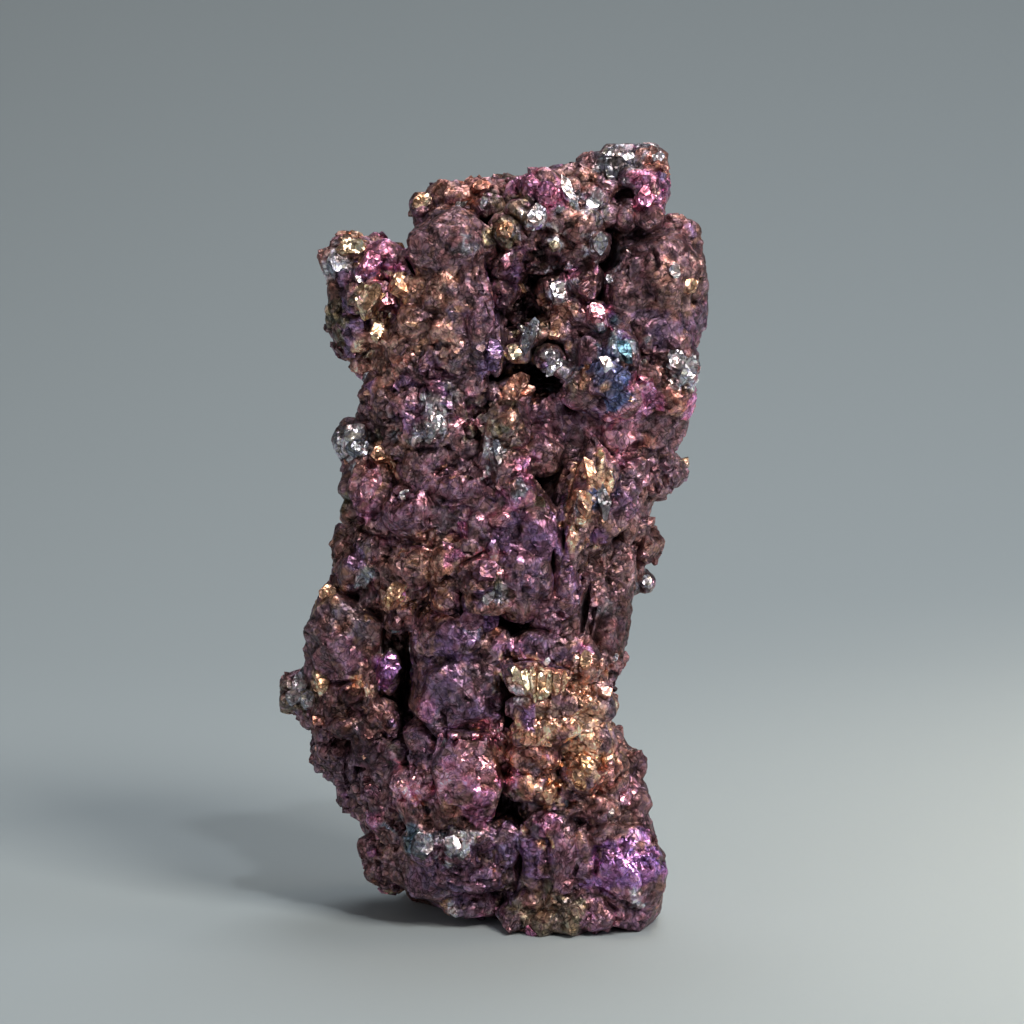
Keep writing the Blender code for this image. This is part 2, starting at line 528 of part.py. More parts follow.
def add_back(target, rng):
    """The masses of the back, and crystals over them and the sides, no two alike."""
    for across, height, depth, *sizes, faces in BACK_MASSES:
        centre = Vector((across, depth, height))
        cut_crystal(target, centre, sizes, rng.uniform(-25, 25), faces, rng)
    rings, per_ring = 13, 10
    for ring in range(rings):
        height = 1.6 + ring * 3.05
        middle, half_trunk, _, back_reach = trunk_reach(height)
        for step in range(per_ring):
            share = (step + 0.5 + rng.uniform(-0.4, 0.4)) / per_ring
            turn = math.radians(-24 + 228 * share)
            size = rng.choice((0.8, 1.1, 1.4, 1.8))
            tall = size * rng.uniform(0.8, 1.35)
            outward = half_trunk + SIDE_GROWTH - size
            middle_height = height + rng.uniform(-1.3, 1.3)
            crown = LEFT_CROWN if middle + outward * math.cos(turn) < -4 else CROWN
            centre = Vector(
                (
                    middle + outward * math.cos(turn),
                    (back_reach + 1.3 - size) * math.sin(turn),
                    max(0.6 * tall, min(middle_height, crown - tall)),
                )
            )
            sizes = (size, size * rng.uniform(0.8, 1.0), tall)
            lean = rng.uniform(-40, 40)
            cut_crystal(target, centre, sizes, lean, rng.choice((11, 13, 16)), rng)
    for across, height, depth in TOP_OF_THE_BACK:
        size = rng.uniform(0.9, 1.3)
        sizes = (size, size * 0.9, size * rng.uniform(0.6, 0.9))
        centre = Vector((across, depth, height - sizes[2]))
        cut_crystal(target, centre, sizes, rng.uniform(-30, 30), 12, rng)


def add_trunk(target):
    """The trunk: a ring of points at each height, bridged, and capped at both ends."""
    rings = []
    for height, middle, half_width, front_reach, back_reach in TRUNK:
        ring = []
        for side in range(TRUNK_SIDES):
            turn = math.tau * side / TRUNK_SIDES
            reach = back_reach if math.sin(turn) > 0 else front_reach
            point = (
                middle + half_width * math.cos(turn),
                reach * math.sin(turn),
                height,
            )
            ring.append(target.verts.new(point))
        rings.append(ring)
    for low, high in zip(rings, rings[1:]):
        for side in range(TRUNK_SIDES):
            after = (side + 1) % TRUNK_SIDES
            target.faces.new((low[side], low[after], high[after], high[side]))
    target.faces.new(reversed(rings[0]))
    target.faces.new(rings[-1])


def add_hollows(target, rng):
    """The cutters of the clefts and pits."""
    for across, seen, depth, half_width, half_depth, half_height, lean in HOLLOWS:
        centre = Vector((across, depth, ground_height(seen, depth)))
        sizes = (half_width, half_depth, half_height)
        cut_crystal(target, centre, sizes, lean, 12, rng)


def mesh_object(name, source):
    """A scene object with source's mesh."""
    mesh = bpy.data.meshes.new(name)
    source.to_mesh(mesh)
    source.free()
    made = bpy.data.objects.new(name, mesh)
    bpy.context.collection.objects.link(made)
    return made


def combined(body, operation, tool, solver="EXACT"):
    """body after a Boolean with tool, which is then removed."""
    modifier = body.modifiers.new(operation.lower(), "BOOLEAN")
    modifier.operation = operation
    modifier.object = tool
    modifier.solver = solver
    modifier.use_self = True
    graph = bpy.context.evaluated_depsgraph_get()
    mesh = bpy.data.meshes.new_from_object(body.evaluated_get(graph))
    body.modifiers.clear()
    body.data = mesh
    bpy.data.objects.remove(tool)


def thinned(body, triangles):
    """Leaves this many triangles, and takes first those that say least about the form."""
    body.data.calc_loop_triangles()
    modifier = body.modifiers.new("thinned", "DECIMATE")
    modifier.ratio = triangles / len(body.data.loop_triangles)
    graph = bpy.context.evaluated_depsgraph_get()
    mesh = bpy.data.meshes.new_from_object(body.evaluated_get(graph))
    body.modifiers.clear()
    body.data = mesh


def islands(body):
    """The faces of a bmesh in groups that hang together."""
    left = set(body.faces)
    while left:
        found = [left.pop()]
        for face in found:
            for edge in face.edges:
                for other in edge.link_faces:
                    if other in left:
                        left.remove(other)
                        found.append(other)
        yield found


def keep_the_outside(mesh):
    """Drops sealed pockets and loose chips, which leaves the one outer surface."""
    body = bmesh.new()
    body.from_mesh(mesh)
    groups = sorted(islands(body), key=len)
    for group in groups[:-1]:
        bmesh.ops.delete(body, geom=group, context="FACES")
    loose = [vert for vert in body.verts if not vert.link_faces]
    bmesh.ops.delete(body, geom=loose, context="VERTS")
    bmesh.ops.triangulate(body, faces=body.faces[:])
    body.to_mesh(mesh)
    body.free()


def centre_on_the_ground(mesh):
    """Moves the middle of the mesh's box over the origin, and turns it to metres."""
    xs = [vert.co.x for vert in mesh.vertices]
    ys = [vert.co.y for vert in mesh.vertices]
    shift = Vector((-(min(xs) + max(xs)) / 2, -(min(ys) + max(ys)) / 2, 0))
    mesh.transform(Matrix.Scale(MILLIMETRE, 4) @ Matrix.Translation(shift))


def tarnished_sulphide():
    """Dark metallic purple-brown, the tarnish that covers most of the specimen."""
    material = bpy.data.materials.new("tarnished_sulphide")
    material.use_nodes = True
    shader = material.node_tree.nodes["Principled BSDF"]
    shader.inputs["Base Color"].default_value = (0.085, 0.045, 0.065, 1)
    shader.inputs["Metallic"].default_value = 0.9
    shader.inputs["Roughness"].default_value = 0.42
    return material


def main():
    for old in list(bpy.data.objects):
        bpy.data.objects.remove(old)
    rng = random.Random(11)

    trunk = bmesh.new()
    add_trunk(trunk)
    chalcocite = mesh_object("chalcocite", trunk)

    crystals = bmesh.new()
    add_front(crystals, rng)
    add_back(crystals, rng)
    combined(chalcocite, "UNION", mesh_object("crystals", crystals))

    hollows = bmesh.new()
    add_hollows(hollows, rng)
    combined(chalcocite, "DIFFERENCE", mesh_object("hollows", hollows))
    keep_the_outside(chalcocite.data)
    thinned(chalcocite, TRIANGLES)

    ground = bmesh.new()
    bmesh.ops.create_cube(ground, size=HEIGHT)
    below = Matrix.Translation((0, 0, -HEIGHT / 2))
    bmesh.ops.transform(ground, matrix=below, verts=ground.verts)
    # Thinning can leave a fold too small to see, which the exact solver tears open.
    combined(chalcocite, "DIFFERENCE", mesh_object("ground", ground), "MANIFOLD")

    keep_the_outside(chalcocite.data)
    centre_on_the_ground(chalcocite.data)
    chalcocite.data.materials.clear()
    chalcocite.data.materials.append(tarnished_sulphide())


main()
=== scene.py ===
import math

import bmesh
import bpy
import numpy as np
from mathutils import Matrix, Vector, noise
from mathutils.bvhtree import BVHTree


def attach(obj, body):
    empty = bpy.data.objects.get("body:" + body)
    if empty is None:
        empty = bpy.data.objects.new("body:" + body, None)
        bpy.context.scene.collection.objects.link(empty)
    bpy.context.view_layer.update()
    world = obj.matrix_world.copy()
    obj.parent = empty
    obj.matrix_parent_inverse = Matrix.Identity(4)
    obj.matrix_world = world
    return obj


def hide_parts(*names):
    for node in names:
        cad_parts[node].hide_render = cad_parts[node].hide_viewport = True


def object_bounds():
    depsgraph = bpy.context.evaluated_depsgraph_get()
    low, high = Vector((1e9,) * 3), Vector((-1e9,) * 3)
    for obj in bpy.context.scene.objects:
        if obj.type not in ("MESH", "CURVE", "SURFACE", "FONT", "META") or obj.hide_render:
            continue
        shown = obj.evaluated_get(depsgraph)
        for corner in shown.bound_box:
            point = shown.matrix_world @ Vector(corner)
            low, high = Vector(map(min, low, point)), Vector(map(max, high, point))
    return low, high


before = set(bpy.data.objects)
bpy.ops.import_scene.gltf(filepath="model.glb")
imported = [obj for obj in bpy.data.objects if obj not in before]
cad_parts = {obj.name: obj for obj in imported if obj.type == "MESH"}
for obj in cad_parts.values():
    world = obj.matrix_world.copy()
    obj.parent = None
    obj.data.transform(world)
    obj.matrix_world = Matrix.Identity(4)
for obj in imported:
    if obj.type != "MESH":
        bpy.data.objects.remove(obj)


# The clump. One piece of chalcocite, a copper sulphide, that grew as a crust of small
# crystals over larger ones. Its solid gives the large crystals, and the small ones are
# grown on that surface here, as polyhedra whose outer faces are found along the normal.

CAD_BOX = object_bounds()
MM = 0.001
VOXEL = 0.12 * MM
BODY_TRIANGLES = 190_000
FACE_PAIRS = 5

# The foot keeps its flat face: near it, nothing goes in or out.
FOOT_RIM = 0.05 * MM
FOOT_FADE = 0.8 * MM
SET_BACK_FADE = 2.0 * MM

# Spacing of the crystals, their radius, how far they stand out of the surface, and how much
# of that is left where the clump is smooth.
CRYSTAL_COATS = (
    (1.45 * MM, 1.55 * MM, 0.28 * MM, 0.75),
    (0.76 * MM, 0.72 * MM, 0.13 * MM, 0.35),
    (0.38 * MM, 0.36 * MM, 0.055 * MM, 0.45),
)

# Where the front is smooth: middle across and height as seen in millimetres, and radius.
SMOOTH_PLACES = (
    (8.9, 35.0, 3.2),
    (-2.1, 36.7, 2.4),
    (-2.3, 33.4, 1.4),
    (-4.2, 22.9, 2.2),
    (-7.8, 15.8, 2.6),
    (-1.8, 12.9, 2.2),
    (-1.0, 8.6, 2.2),
    (2.2, 21.4, 1.9),
    (4.2, 26.8, 2.0),
    (6.8, 17.0, 2.0),
    (7.2, 3.7, 2.6),
    (-0.4, 23.0, 1.6),
    (8.0, 27.5, 1.6),
    (-1.6, 15.6, 1.4),
    (8.0, 7.8, 1.6),
    (8.6, 5.2, 1.5),
    (8.4, 1.6, 1.8),
    (3.0, 4.2, 1.5),
)

# Across and depth at which the photograph's middle lies on the solid, in millimetres. The
# camera looks down a little, so what lies behind the front, at FRONT_DEPTH, looks higher.
SOLID_SHIFT = (-0.115, 0.255)
ELEVATION = math.radians(8)
SIGHT_SLOPE = math.tan(ELEVATION)
FRONT_DEPTH = 6


def as_seen(points):
    """Across and height of points in millimetres as they look from the front, and depth."""
    across, depth, height = (points / MM).T
    depth = depth - SOLID_SHIFT[1]
    return across - SOLID_SHIFT[0], height + (depth + FRONT_DEPTH) * SIGHT_SLOPE, depth


def waves(points, size, seed):
    """A smooth random value from about -1 to 1 at each point, with lumps of this size."""
    shift = Vector((seed * 17.3, seed * 5.1, seed * 9.7))
    return np.array([noise.noise(Vector(p) / size + shift) for p in points]) * 1.6


def ruggedness(points):
    """0 where the clump is smooth to 1 where it is covered with small crystals."""
    across, seen, depth = as_seen(points)
    rugged = 0.62 + 0.75 * waves(points, size=2.4 * MM, seed=1)
    for x, v, radius in SMOOTH_PLACES:
        apart = np.hypot(across - x, seen - v) / radius
        near = np.clip(1.25 - apart, 0, 1) * np.clip(0.5 - depth / 4, 0, 1)
        rugged = np.minimum(rugged, 1 - 1.1 * np.clip(near * 2.2, 0, 1))
    return np.clip(rugged, 0, 1)


def mesh_arrays(mesh):
    """The points and point normals of a mesh."""
    points = np.empty(len(mesh.vertices) * 3)
    mesh.vertices.foreach_get("co", points)
    normals = np.empty(len(mesh.vertices) * 3)
    mesh.vertex_normals.foreach_get("vector", normals)
    return points.reshape(-1, 3), normals.reshape(-1, 3)


def smoothed(values, mesh, rounds):
    """values at a mesh's points, each averaged with its neighbours' this many times."""
    ends = np.empty(len(mesh.edges) * 2, np.int32)
    mesh.edges.foreach_get("vertices", ends)
    a, b = ends.reshape(-1, 2).T
    count = np.bincount(ends, minlength=len(values))[:, None] + 1.0
    for _ in range(rounds):
        total = values.copy()
        for axis in range(values.shape[1]):
            total[:, axis] += np.bincount(a, values[b, axis], len(values))
            total[:, axis] += np.bincount(b, values[a, axis], len(values))
        values = total / count
    return values


def unit(vectors):
    """The same vectors with a length of one."""
    return vectors / np.maximum(np.linalg.norm(vectors, axis=-1, keepdims=True), 1e-12)


def with_modifier(obj, kind, **settings):
    """Makes obj the plain mesh that it is after a modifier with these settings."""
    modifier = obj.modifiers.new(kind.lower(), kind)
    for name, value in settings.items():
        setattr(modifier, name, value)
    graph = bpy.context.evaluated_depsgraph_get()
    mesh = bpy.data.meshes.new_from_object(obj.evaluated_get(graph))
    obj.modifiers.clear()
    obj.data = mesh


class Crystals:
    """Crystals seeded over a surface, one in each cell of a grid, no two alike.

    Each is a polyhedron between pairs of opposite faces, with its middle sunk so that only
    its outer faces stand over the surface.
    """

    def __init__(self, points, normals, spacing, radius, stand_out):
        order = rng.permutation(len(points))
        cells = np.floor(points[order] / spacing).astype(np.int64) + 512
        self.spacing = spacing
        self.keys, first = np.unique(self.key(cells), return_index=True)
        chosen = order[first]
        count = len(chosen)
        self.seeds = points[chosen]
        self.radius = radius * rng.uniform(0.7, 1.15, count)
        lift = stand_out * rng.uniform(-0.8, 1.0, count) - self.radius * 0.93
        self.centres = self.seeds + normals[chosen] * lift[:, None]
        half = unit(rng.normal(size=(count, FACE_PAIRS, 3)))
        self.faces = np.concatenate([half, -half], axis=1)
        self.reach = self.radius[:, None] * rng.uniform(0.7, 1.0, (count, 2 * FACE_PAIRS))

    @staticmethod
    def key(cells):
        """One number for each cell of the grid."""
        return (cells[..., 0] << 24) | (cells[..., 1] << 12) | cells[..., 2]

    def stand_over(self, points, normals):
        """How far the crystals reach out of each point, and which crystal is outermost."""
        cells = np.floor(points / self.spacing).astype(np.int64) + 512
        best = np.full(len(points), -np.inf)
        owner = np.full(len(points), -1)
        for step in np.ndindex(3, 3, 3):
            keys = self.key(cells + np.array(step) - 1)
            at = np.minimum(np.searchsorted(self.keys, keys), len(self.keys) - 1)
            there = np.flatnonzero(self.keys[at] == keys)
            found = at[there]
            offset = points[there] - self.centres[found]
            faces = self.faces[found]
            slope = np.einsum("nfk,nk->nf", faces, normals[there])
            gap = self.reach[found] - np.einsum("nfk,nk->nf", faces, offset)
            outward = slope > 1e-6
            leaves = np.where(outward, gap / np.where(outward, slope, 1), np.inf).min(1)
            inward = slope < -1e-6
            enters = np.where(inward, gap / np.where(inward, slope, -1), -np.inf).max(1)
            leaves[enters > leaves] = -np.inf
            better = leaves > best[there]
            best[there[better]] = leaves[better]
            owner[there[better]] = found[better]
        return best, owner


clump = bpy.data.objects.new("clump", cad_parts["chalcocite"].data.copy())
bpy.context.collection.objects.link(clump)
loose = bmesh.new()
loose.from_mesh(clump.data)
bmesh.ops.remove_doubles(loose, verts=loose.verts, dist=1e-7)
loose.to_mesh(clump.data)
loose.free()
with_modifier(clump, "REMESH", mode="VOXEL", voxel_size=VOXEL)

# Room for the small crystals: the surface goes in by this much before they stand out of it.
SET_BACK = 0.19 * MM

points, normals = mesh_arrays(clump.data)
normals = unit(smoothed(normals, clump.data, rounds=16))
above_foot = np.clip((points[:, 2] - FOOT_RIM) / SET_BACK_FADE, 0, 1)
points = points - normals * (SET_BACK * above_foot)[:, None]
points = smoothed(points, clump.data, rounds=2)
points[:, 2] = np.maximum(points[:, 2], CAD_BOX[0][2])
clump.data.vertices.foreach_set("co", points.ravel())
clump.data.update()

# Each coat of crystals moves the surface along its normals, to the outermost crystal there.
rng = np.random.default_rng(7)
owners = []
coats = []
rugged = ruggedness(mesh_arrays(clump.data)[0])
for spacing, radius, stand_out, kept in CRYSTAL_COATS:
    points, normals = mesh_arrays(clump.data)
    normals = unit(smoothed(normals, clump.data, rounds=6))
    crystals = Crystals(points, normals, spacing, radius, stand_out)
    height, owner = crystals.stand_over(points, normals)
    height = np.clip(height, -1.1 * stand_out, 1.25 * stand_out) - 0.3 * stand_out
    height *= kept + (1 - kept) * rugged
    above_foot = np.clip((points[:, 2] - FOOT_RIM) / FOOT_FADE, 0, 1)
    points = points + normals * (height * above_foot)[:, None]
    points = np.clip(points, CAD_BOX[0], CAD_BOX[1])
    clump.data.vertices.foreach_set("co", points.ravel())
    clump.data.update()
    owners.append(owner)
    coats.append(crystals)


# The tarnish. Air and water leave a film of copper oxides on the sulphide, some tens of
# nanometres thick, and light between its faces colours it: silver, then gold, bronze,
# magenta, violet and blue as it grows. Most faces have a thicker, dull mauve-brown skin.

TINTS = {
    "dull mauve": "#80646a",
    "dull brown": "#8a6e66",
    "dull grey": "#746a72",
    "dull violet": "#745f7c",
    "mauve": "#987486",
    "purple": "#866a90",
    "violet": "#8c779a",
    "bright violet": "#b88ac8",
    "magenta": "#ca8cae",
    "rose": "#daa2b2",
    "copper": "#b08070",
    "bronze": "#c69c88",
    "gold": "#f0c4a0",
    "pale gold": "#f8dcb8",
    "silver": "#d2d6da",
    "steel": "#8c9298",
    "olive": "#807c68",
    "blue": "#5a6c94",
    "teal": "#628a98",
    "umber": "#5e4a1c",
    "shade": "#4a3338",
}
DULL = ("dull mauve", "dull brown", "dull grey", "dull violet")
BRIGHT = (
    "magenta", "rose", "copper", "bronze", "bronze", "gold", "copper",
    "violet", "mauve", "purple", "steel", "silver", "olive", "mauve",
)

# The patches of the front: tint, how clean the face is, its middle across and height as
# seen in millimetres, and its radius.
PATCHES = (
    ("gold", 0.95, -7.3, 36.9, 0.9),
    ("silver", 0.35, -8.1, 36.0, 0.9),
    ("violet", 0.30, -7.6, 35.1, 0.8),
    ("magenta", 0.60, -5.5, 36.1, 1.1),
    ("purple", 0.80, -6.4, 35.6, 0.8),
    ("pale gold", 0.95, -6.5, 34.2, 0.8),
    ("rose", 0.95, -5.4, 34.4, 0.7),
    ("olive", 0.60, -8.1, 33.3, 1.1),
    ("violet", 0.50, -6.9, 32.4, 1.1),
    ("pale gold", 0.90, -5.9, 32.2, 0.6),
    ("gold", 0.35, -4.6, 34.6, 0.8),
    ("bronze", 0.30, -5.7, 30.9, 1.3),
    ("dull mauve", 0.20, -2.1, 36.8, 1.9),
    ("steel", 0.25, -1.2, 36.4, 0.8),
    ("bronze", 0.35, -2.3, 34.3, 1.3),
    ("bronze", 0.35, -3.7, 32.8, 1.5),
    ("bronze", 0.40, -2.1, 32.3, 1.3),
    ("mauve", 0.25, -0.4, 33.5, 0.9),
    ("violet", 0.60, 0.3, 31.0, 0.6),
    ("gold", 0.90, -3.5, 39.1, 0.55),
    ("bronze", 0.40, -2.6, 39.7, 0.9),
    ("copper", 0.40, -1.0, 39.8, 1.0),
    ("olive", 0.40, 0.8, 39.9, 0.9),
    ("silver", 0.90, -0.3, 39.0, 0.3),
    ("magenta", 0.45, 3.0, 39.7, 1.2),
    ("silver", 1.00, 4.2, 39.5, 0.5),
    ("silver", 1.00, 2.4, 38.3, 0.5),
    ("steel", 0.50, 5.2, 38.9, 0.4),
    ("bronze", 0.35, 4.6, 38.0, 0.8),
    ("silver", 0.90, 5.7, 36.8, 0.55),
    ("olive", 0.60, 0.9, 37.7, 0.8),
    ("pale gold", 0.80, 3.4, 36.8, 0.4),
    ("steel", 0.35, 6.8, 41.8, 1.3),
    ("silver", 0.90, 8.6, 41.8, 0.5),
    ("copper", 0.30, 5.4, 40.4, 1.0),
    ("magenta", 0.60, 8.4, 40.1, 1.4),
    ("copper", 0.50, 8.7, 41.3, 0.6),
    ("umber", 0.30, 7.4, 38.4, 0.7),
    ("magenta", 0.55, 5.1, 35.1, 0.9),
    ("shade", 0.35, 1.3, 36.0, 1.4),
    ("shade", 0.30, 3.2, 35.7, 1.3),
    ("shade", 0.30, 2.0, 33.6, 1.2),
    ("bronze", 0.35, 3.6, 33.4, 1.5),
    ("silver", 0.80, 3.6, 34.4, 0.45),
    ("olive", 0.45, 2.1, 32.1, 0.8),
    ("pale gold", 0.60, 1.5, 31.2, 0.6),
    ("steel", 0.35, 3.5, 30.6, 0.7),
    ("rose", 0.85, 5.7, 33.2, 0.6),
    ("bright violet", 0.90, 5.8, 32.3, 0.6),
    ("shade", 0.18, 8.3, 35.4, 1.6),
    ("dull mauve", 0.18, 8.6, 37.2, 1.3),
    ("dull brown", 0.20, 9.8, 34.2, 1.6),
    ("dull violet", 0.20, 9.3, 32.6, 1.5),
    ("silver", 0.95, 10.1, 30.3, 0.95),
    ("copper", 0.40, 9.5, 28.8, 1.1),
    ("teal", 0.40, 6.9, 31.7, 0.8),
    ("blue", 0.60, 6.2, 29.9, 1.3),
    ("blue", 0.75, 6.4, 28.6, 0.9),
    ("violet", 0.55, 5.2, 28.4, 0.7),
    ("olive", 0.40, 4.8, 29.6, 0.7),
    ("gold", 0.90, 5.4, 29.8, 0.35),
    ("magenta", 0.70, 8.1, 28.5, 0.8),
    ("bronze", 0.75, 1.4, 29.1, 0.9),
    ("mauve", 0.35, 3.4, 27.6, 1.7),
    ("rose", 0.40, 6.8, 27.0, 1.5),
    ("dull mauve", 0.20, 9.2, 26.8, 1.5),
    ("silver", 0.75, -7.3, 26.6, 1.0),
    ("gold", 0.90, -5.7, 25.8, 0.7),
    ("silver", 0.85, -2.8, 27.2, 0.6),
    ("steel", 0.30, -2.2, 28.8, 0.6),
    ("purple", 0.40, -3.9, 28.8, 1.3),
    ("rose", 0.45, -1.2, 28.6, 0.8),
    ("olive", 0.35, 0.8, 27.3, 1.0),
    ("silver", 0.60, 0.3, 25.8, 0.45),
    ("rose", 0.60, -6.3, 24.2, 0.9),
    ("magenta", 0.50, -6.6, 22.9, 0.9),
    ("mauve", 0.45, -4.2, 23.2, 1.8),
    ("silver", 0.60, -4.2, 23.5, 0.4),
    ("mauve", 0.35, -1.8, 24.0, 1.3),
    ("magenta", 0.75, 1.2, 24.2, 0.9),
    ("purple", 0.45, 2.2, 21.8, 1.6),
    ("rose", 0.70, -0.4, 22.2, 0.7),
    ("magenta", 0.70, -1.6, 20.9, 0.9),
    ("rose", 0.85, -0.2, 19.7, 1.0),
    ("violet", 0.70, -0.3, 18.7, 0.8),
    ("dull violet", 0.20, 1.8, 19.3, 1.3),
    ("steel", 0.40, 0.4, 18.0, 0.8),
    ("olive", 0.40, 1.5, 17.8, 0.6),
    ("bronze", 0.30, -2.9, 19.8, 1.3),
    ("violet", 0.60, -7.2, 19.4, 0.8),
    ("gold", 0.70, -4.8, 18.3, 0.7),
    ("gold", 0.60, -8.6, 18.2, 0.6),
    ("dull grey", 0.30, -7.6, 16.4, 1.5),
    ("mauve", 0.30, -7.9, 15.0, 1.6),
    ("bright violet", 0.85, -5.5, 14.1, 0.8),
    ("olive", 0.70, -10.3, 12.9, 0.9),
    ("pale gold", 0.90, -8.9, 13.4, 0.5),
    ("shade", 0.35, -7.3, 11.8, 1.7),
    ("shade", 0.20, -6.3, 10.2, 1.2),
    ("olive", 0.40, -5.0, 9.7, 0.5),
    ("magenta", 0.60, -1.4, 16.2, 0.6),
    ("blue", 0.60, -0.8, 15.8, 0.6),
    ("purple", 0.35, -2.0, 15.6, 1.4),
    ("dull violet", 0.15, -1.9, 12.9, 1.9),
    ("rose", 0.95, -1.1, 9.3, 1.5),
    ("magenta", 0.95, -1.0, 7.7, 1.5),
    ("rose", 0.60, -3.9, 8.2, 1.0),
    ("teal", 0.45, -3.8, 5.1, 0.8),
    ("silver", 0.60, -2.0, 4.9, 0.8),
    ("violet", 0.60, 0.6, 5.0, 0.8),
    ("dull violet", 0.30, -0.9, 3.0, 1.6),
    ("dull violet", 0.25, -3.0, 3.2, 1.2),
    ("magenta", 0.50, 3.4, 6.3, 0.9),
    ("purple", 0.50, 2.6, 4.2, 1.0),
    ("mauve", 0.40, 4.5, 4.0, 1.2),
    ("bright violet", 0.95, 7.1, 3.8, 1.8),
    ("rose", 0.60, 7.2, 7.3, 0.6),
    ("shade", 0.20, 8.0, 8.7, 1.1),
    ("dull mauve", 0.20, 8.4, 6.3, 0.9),
    ("olive", 0.25, 3.0, 1.2, 2.0),
    ("mauve", 0.35, 6.6, 1.4, 2.0),
    ("dull violet", 0.25, 3.0, 15.6, 1.4),
    ("gold", 0.60, 2.5, 13.9, 1.2),
    ("bronze", 0.60, 4.9, 14.4, 1.1),
    ("bronze", 0.90, 3.0, 12.5, 1.4),
    ("gold", 0.55, 5.3, 12.5, 1.1),
    ("gold", 0.85, 3.0, 11.2, 1.3),
    ("gold", 0.65, 5.2, 10.7, 1.0),
    ("copper", 0.45, 2.3, 9.4, 1.2),
    ("gold", 0.85, 4.9, 8.9, 0.9),
    ("gold", 0.80, 3.2, 7.7, 0.6),
    ("copper", 0.50, 6.0, 8.2, 1.2),
    ("purple", 0.35, 4.1, 18.8, 0.9),
    ("mauve", 0.30, 3.3, 17.0, 0.9),
    ("gold", 0.80, 5.2, 24.6, 0.9),
    ("gold", 0.60, 4.9, 22.8, 0.8),
    ("blue", 0.40, 5.9, 24.1, 0.6),
    ("silver", 0.70, 5.6, 22.8, 0.4),
    ("gold", 0.60, 3.6, 22.3, 0.5),
    ("dull violet", 0.25, 6.8, 22.9, 1.0),
    ("mauve", 0.30, 7.4, 24.9, 0.9),
    ("dull brown", 0.30, 8.6, 20.9, 0.8),
    ("steel", 0.60, 8.3, 19.0, 0.5),
    ("shade", 0.15, 6.7, 17.0, 1.8),
)


def linear(code):
    """Linear colour of an sRGB hex code."""
    parts = [int(code[i : i + 2], 16) / 255 for i in (1, 3, 5)]
    return [c / 12.92 if c <= 0.04045 else ((c + 0.055) / 1.055) ** 2.4 for c in parts]


def tints(names):
    """An array of linear colours of named tints."""
    table = {name: linear(code) for name, code in TINTS.items()}
    return np.array([table[name] for name in names])


def tarnish(points):
    """Tint and cleanness of a crystal at each of these points."""
    across, seen, depth = as_seen(points)
    count = len(points)

    # The dull skin goes from mauve to brown, grey or violet, and an odd crystal has its own film.
    warm = np.clip(0.5 + 0.8 * waves(points, size=3.2 * MM, seed=2), 0, 1)[:, None]
    grey = np.clip(0.25 + 0.8 * waves(points, size=4.1 * MM, seed=3), 0, 1)[:, None]
    mauve, brown, dark, violet = tints(DULL)
    tint = mauve + (brown - mauve) * warm
    tint = tint + (dark * (1 - warm) + violet * warm - tint) * grey * 0.8
    clean = 0.22 + 0.10 * waves(points, size=2.1 * MM, seed=4) + rng.normal(0, 0.07, count)
    clean = np.clip(clean, 0, 1)
    odd = rng.random(count) < 0.04 + 0.12 * ruggedness(points)
    other = tints(rng.choice(BRIGHT, count))
    tint = np.where(odd[:, None], other, tint)
    clean = np.where(odd, rng.uniform(0.3, 0.85, count), clean)

    # On the front, a crystal takes after the patch that it lies in. The borders are ragged.
    middle = np.array([row[2:4] for row in PATCHES])
    radius = np.array([row[4] for row in PATCHES])
    apart = np.hypot(across[:, None] - middle[:, 0], seen[:, None] - middle[:, 1]) / radius
    nearest = apart.argmin(1)
    inside = apart.min(1) < rng.uniform(0.7, 1.3, count)
    inside &= (depth < 1.0) & (rng.random(count) > 0.10)
    patch_tint = tints([row[0] for row in PATCHES])[nearest]
    patch_clean = np.array([row[1] for row in PATCHES])[nearest]
    part = inside * np.clip(0.6 + 0.5 * patch_clean + rng.normal(0, 0.15, count), 0, 1)
    tint = tint + (patch_tint - tint) * part[:, None]
    clean = np.where(inside, patch_clean + rng.normal(0, 0.12, count), clean)
    tint *= rng.uniform(0.76, 1.26, (count, 1))
    return tint, np.clip(clean, 0.02, 1)


def add_attribute(mesh, name, values):
    """Keeps a value, or a colour, at each point of a mesh under this name."""
    if values.ndim == 1:
        mesh.attributes.new(name, "FLOAT", "POINT").data.foreach_set("value", values)
        return
    colours = np.concatenate([values, np.ones((len(values), 1))], axis=1)
    data = mesh.attributes.new(name, "FLOAT_COLOR", "POINT").data
    data.foreach_set("color", colours.astype(np.float32).ravel())


# Each crystal of the middle coat has its tint, and those of the small coat vary it.
large_tint, large_clean = tarnish(coats[1].seeds)
count = len(coats[2].seeds)
small_tint = tints(rng.choice(BRIGHT, count)) * rng.uniform(0.75, 1.0, (count, 1))
small_clean = rng.normal(0, 0.10, count)
own_share = 0.45 + 0.55 * ruggedness(coats[2].seeds)[:, None]
own_share = 0.24 * rng.random((count, 1)) * own_share
tint = large_tint[owners[1]] * rng.uniform(0.93, 1.09, (count, 1))[owners[2]]
tint = tint + (small_tint[owners[2]] - tint) * own_share[owners[2]]
clean = large_clean[owners[1]] + small_clean[owners[2]]

# How far a point lies over the points around it: 1 on an edge and -1 in a crease.
points, normals = mesh_arrays(clump.data)
RIDGE = 0.045 * MM
ridge = ((points - smoothed(points, clump.data, rounds=4)) * normals).sum(1) / RIDGE
add_attribute(clump.data, "tint", np.clip(tint, 0, 1))
add_attribute(clump.data, "clean", np.clip(clean, 0, 1))
add_attribute(clump.data, "ridge", np.clip(ridge, -1, 1))
add_attribute(clump.data, "rugged", rugged)

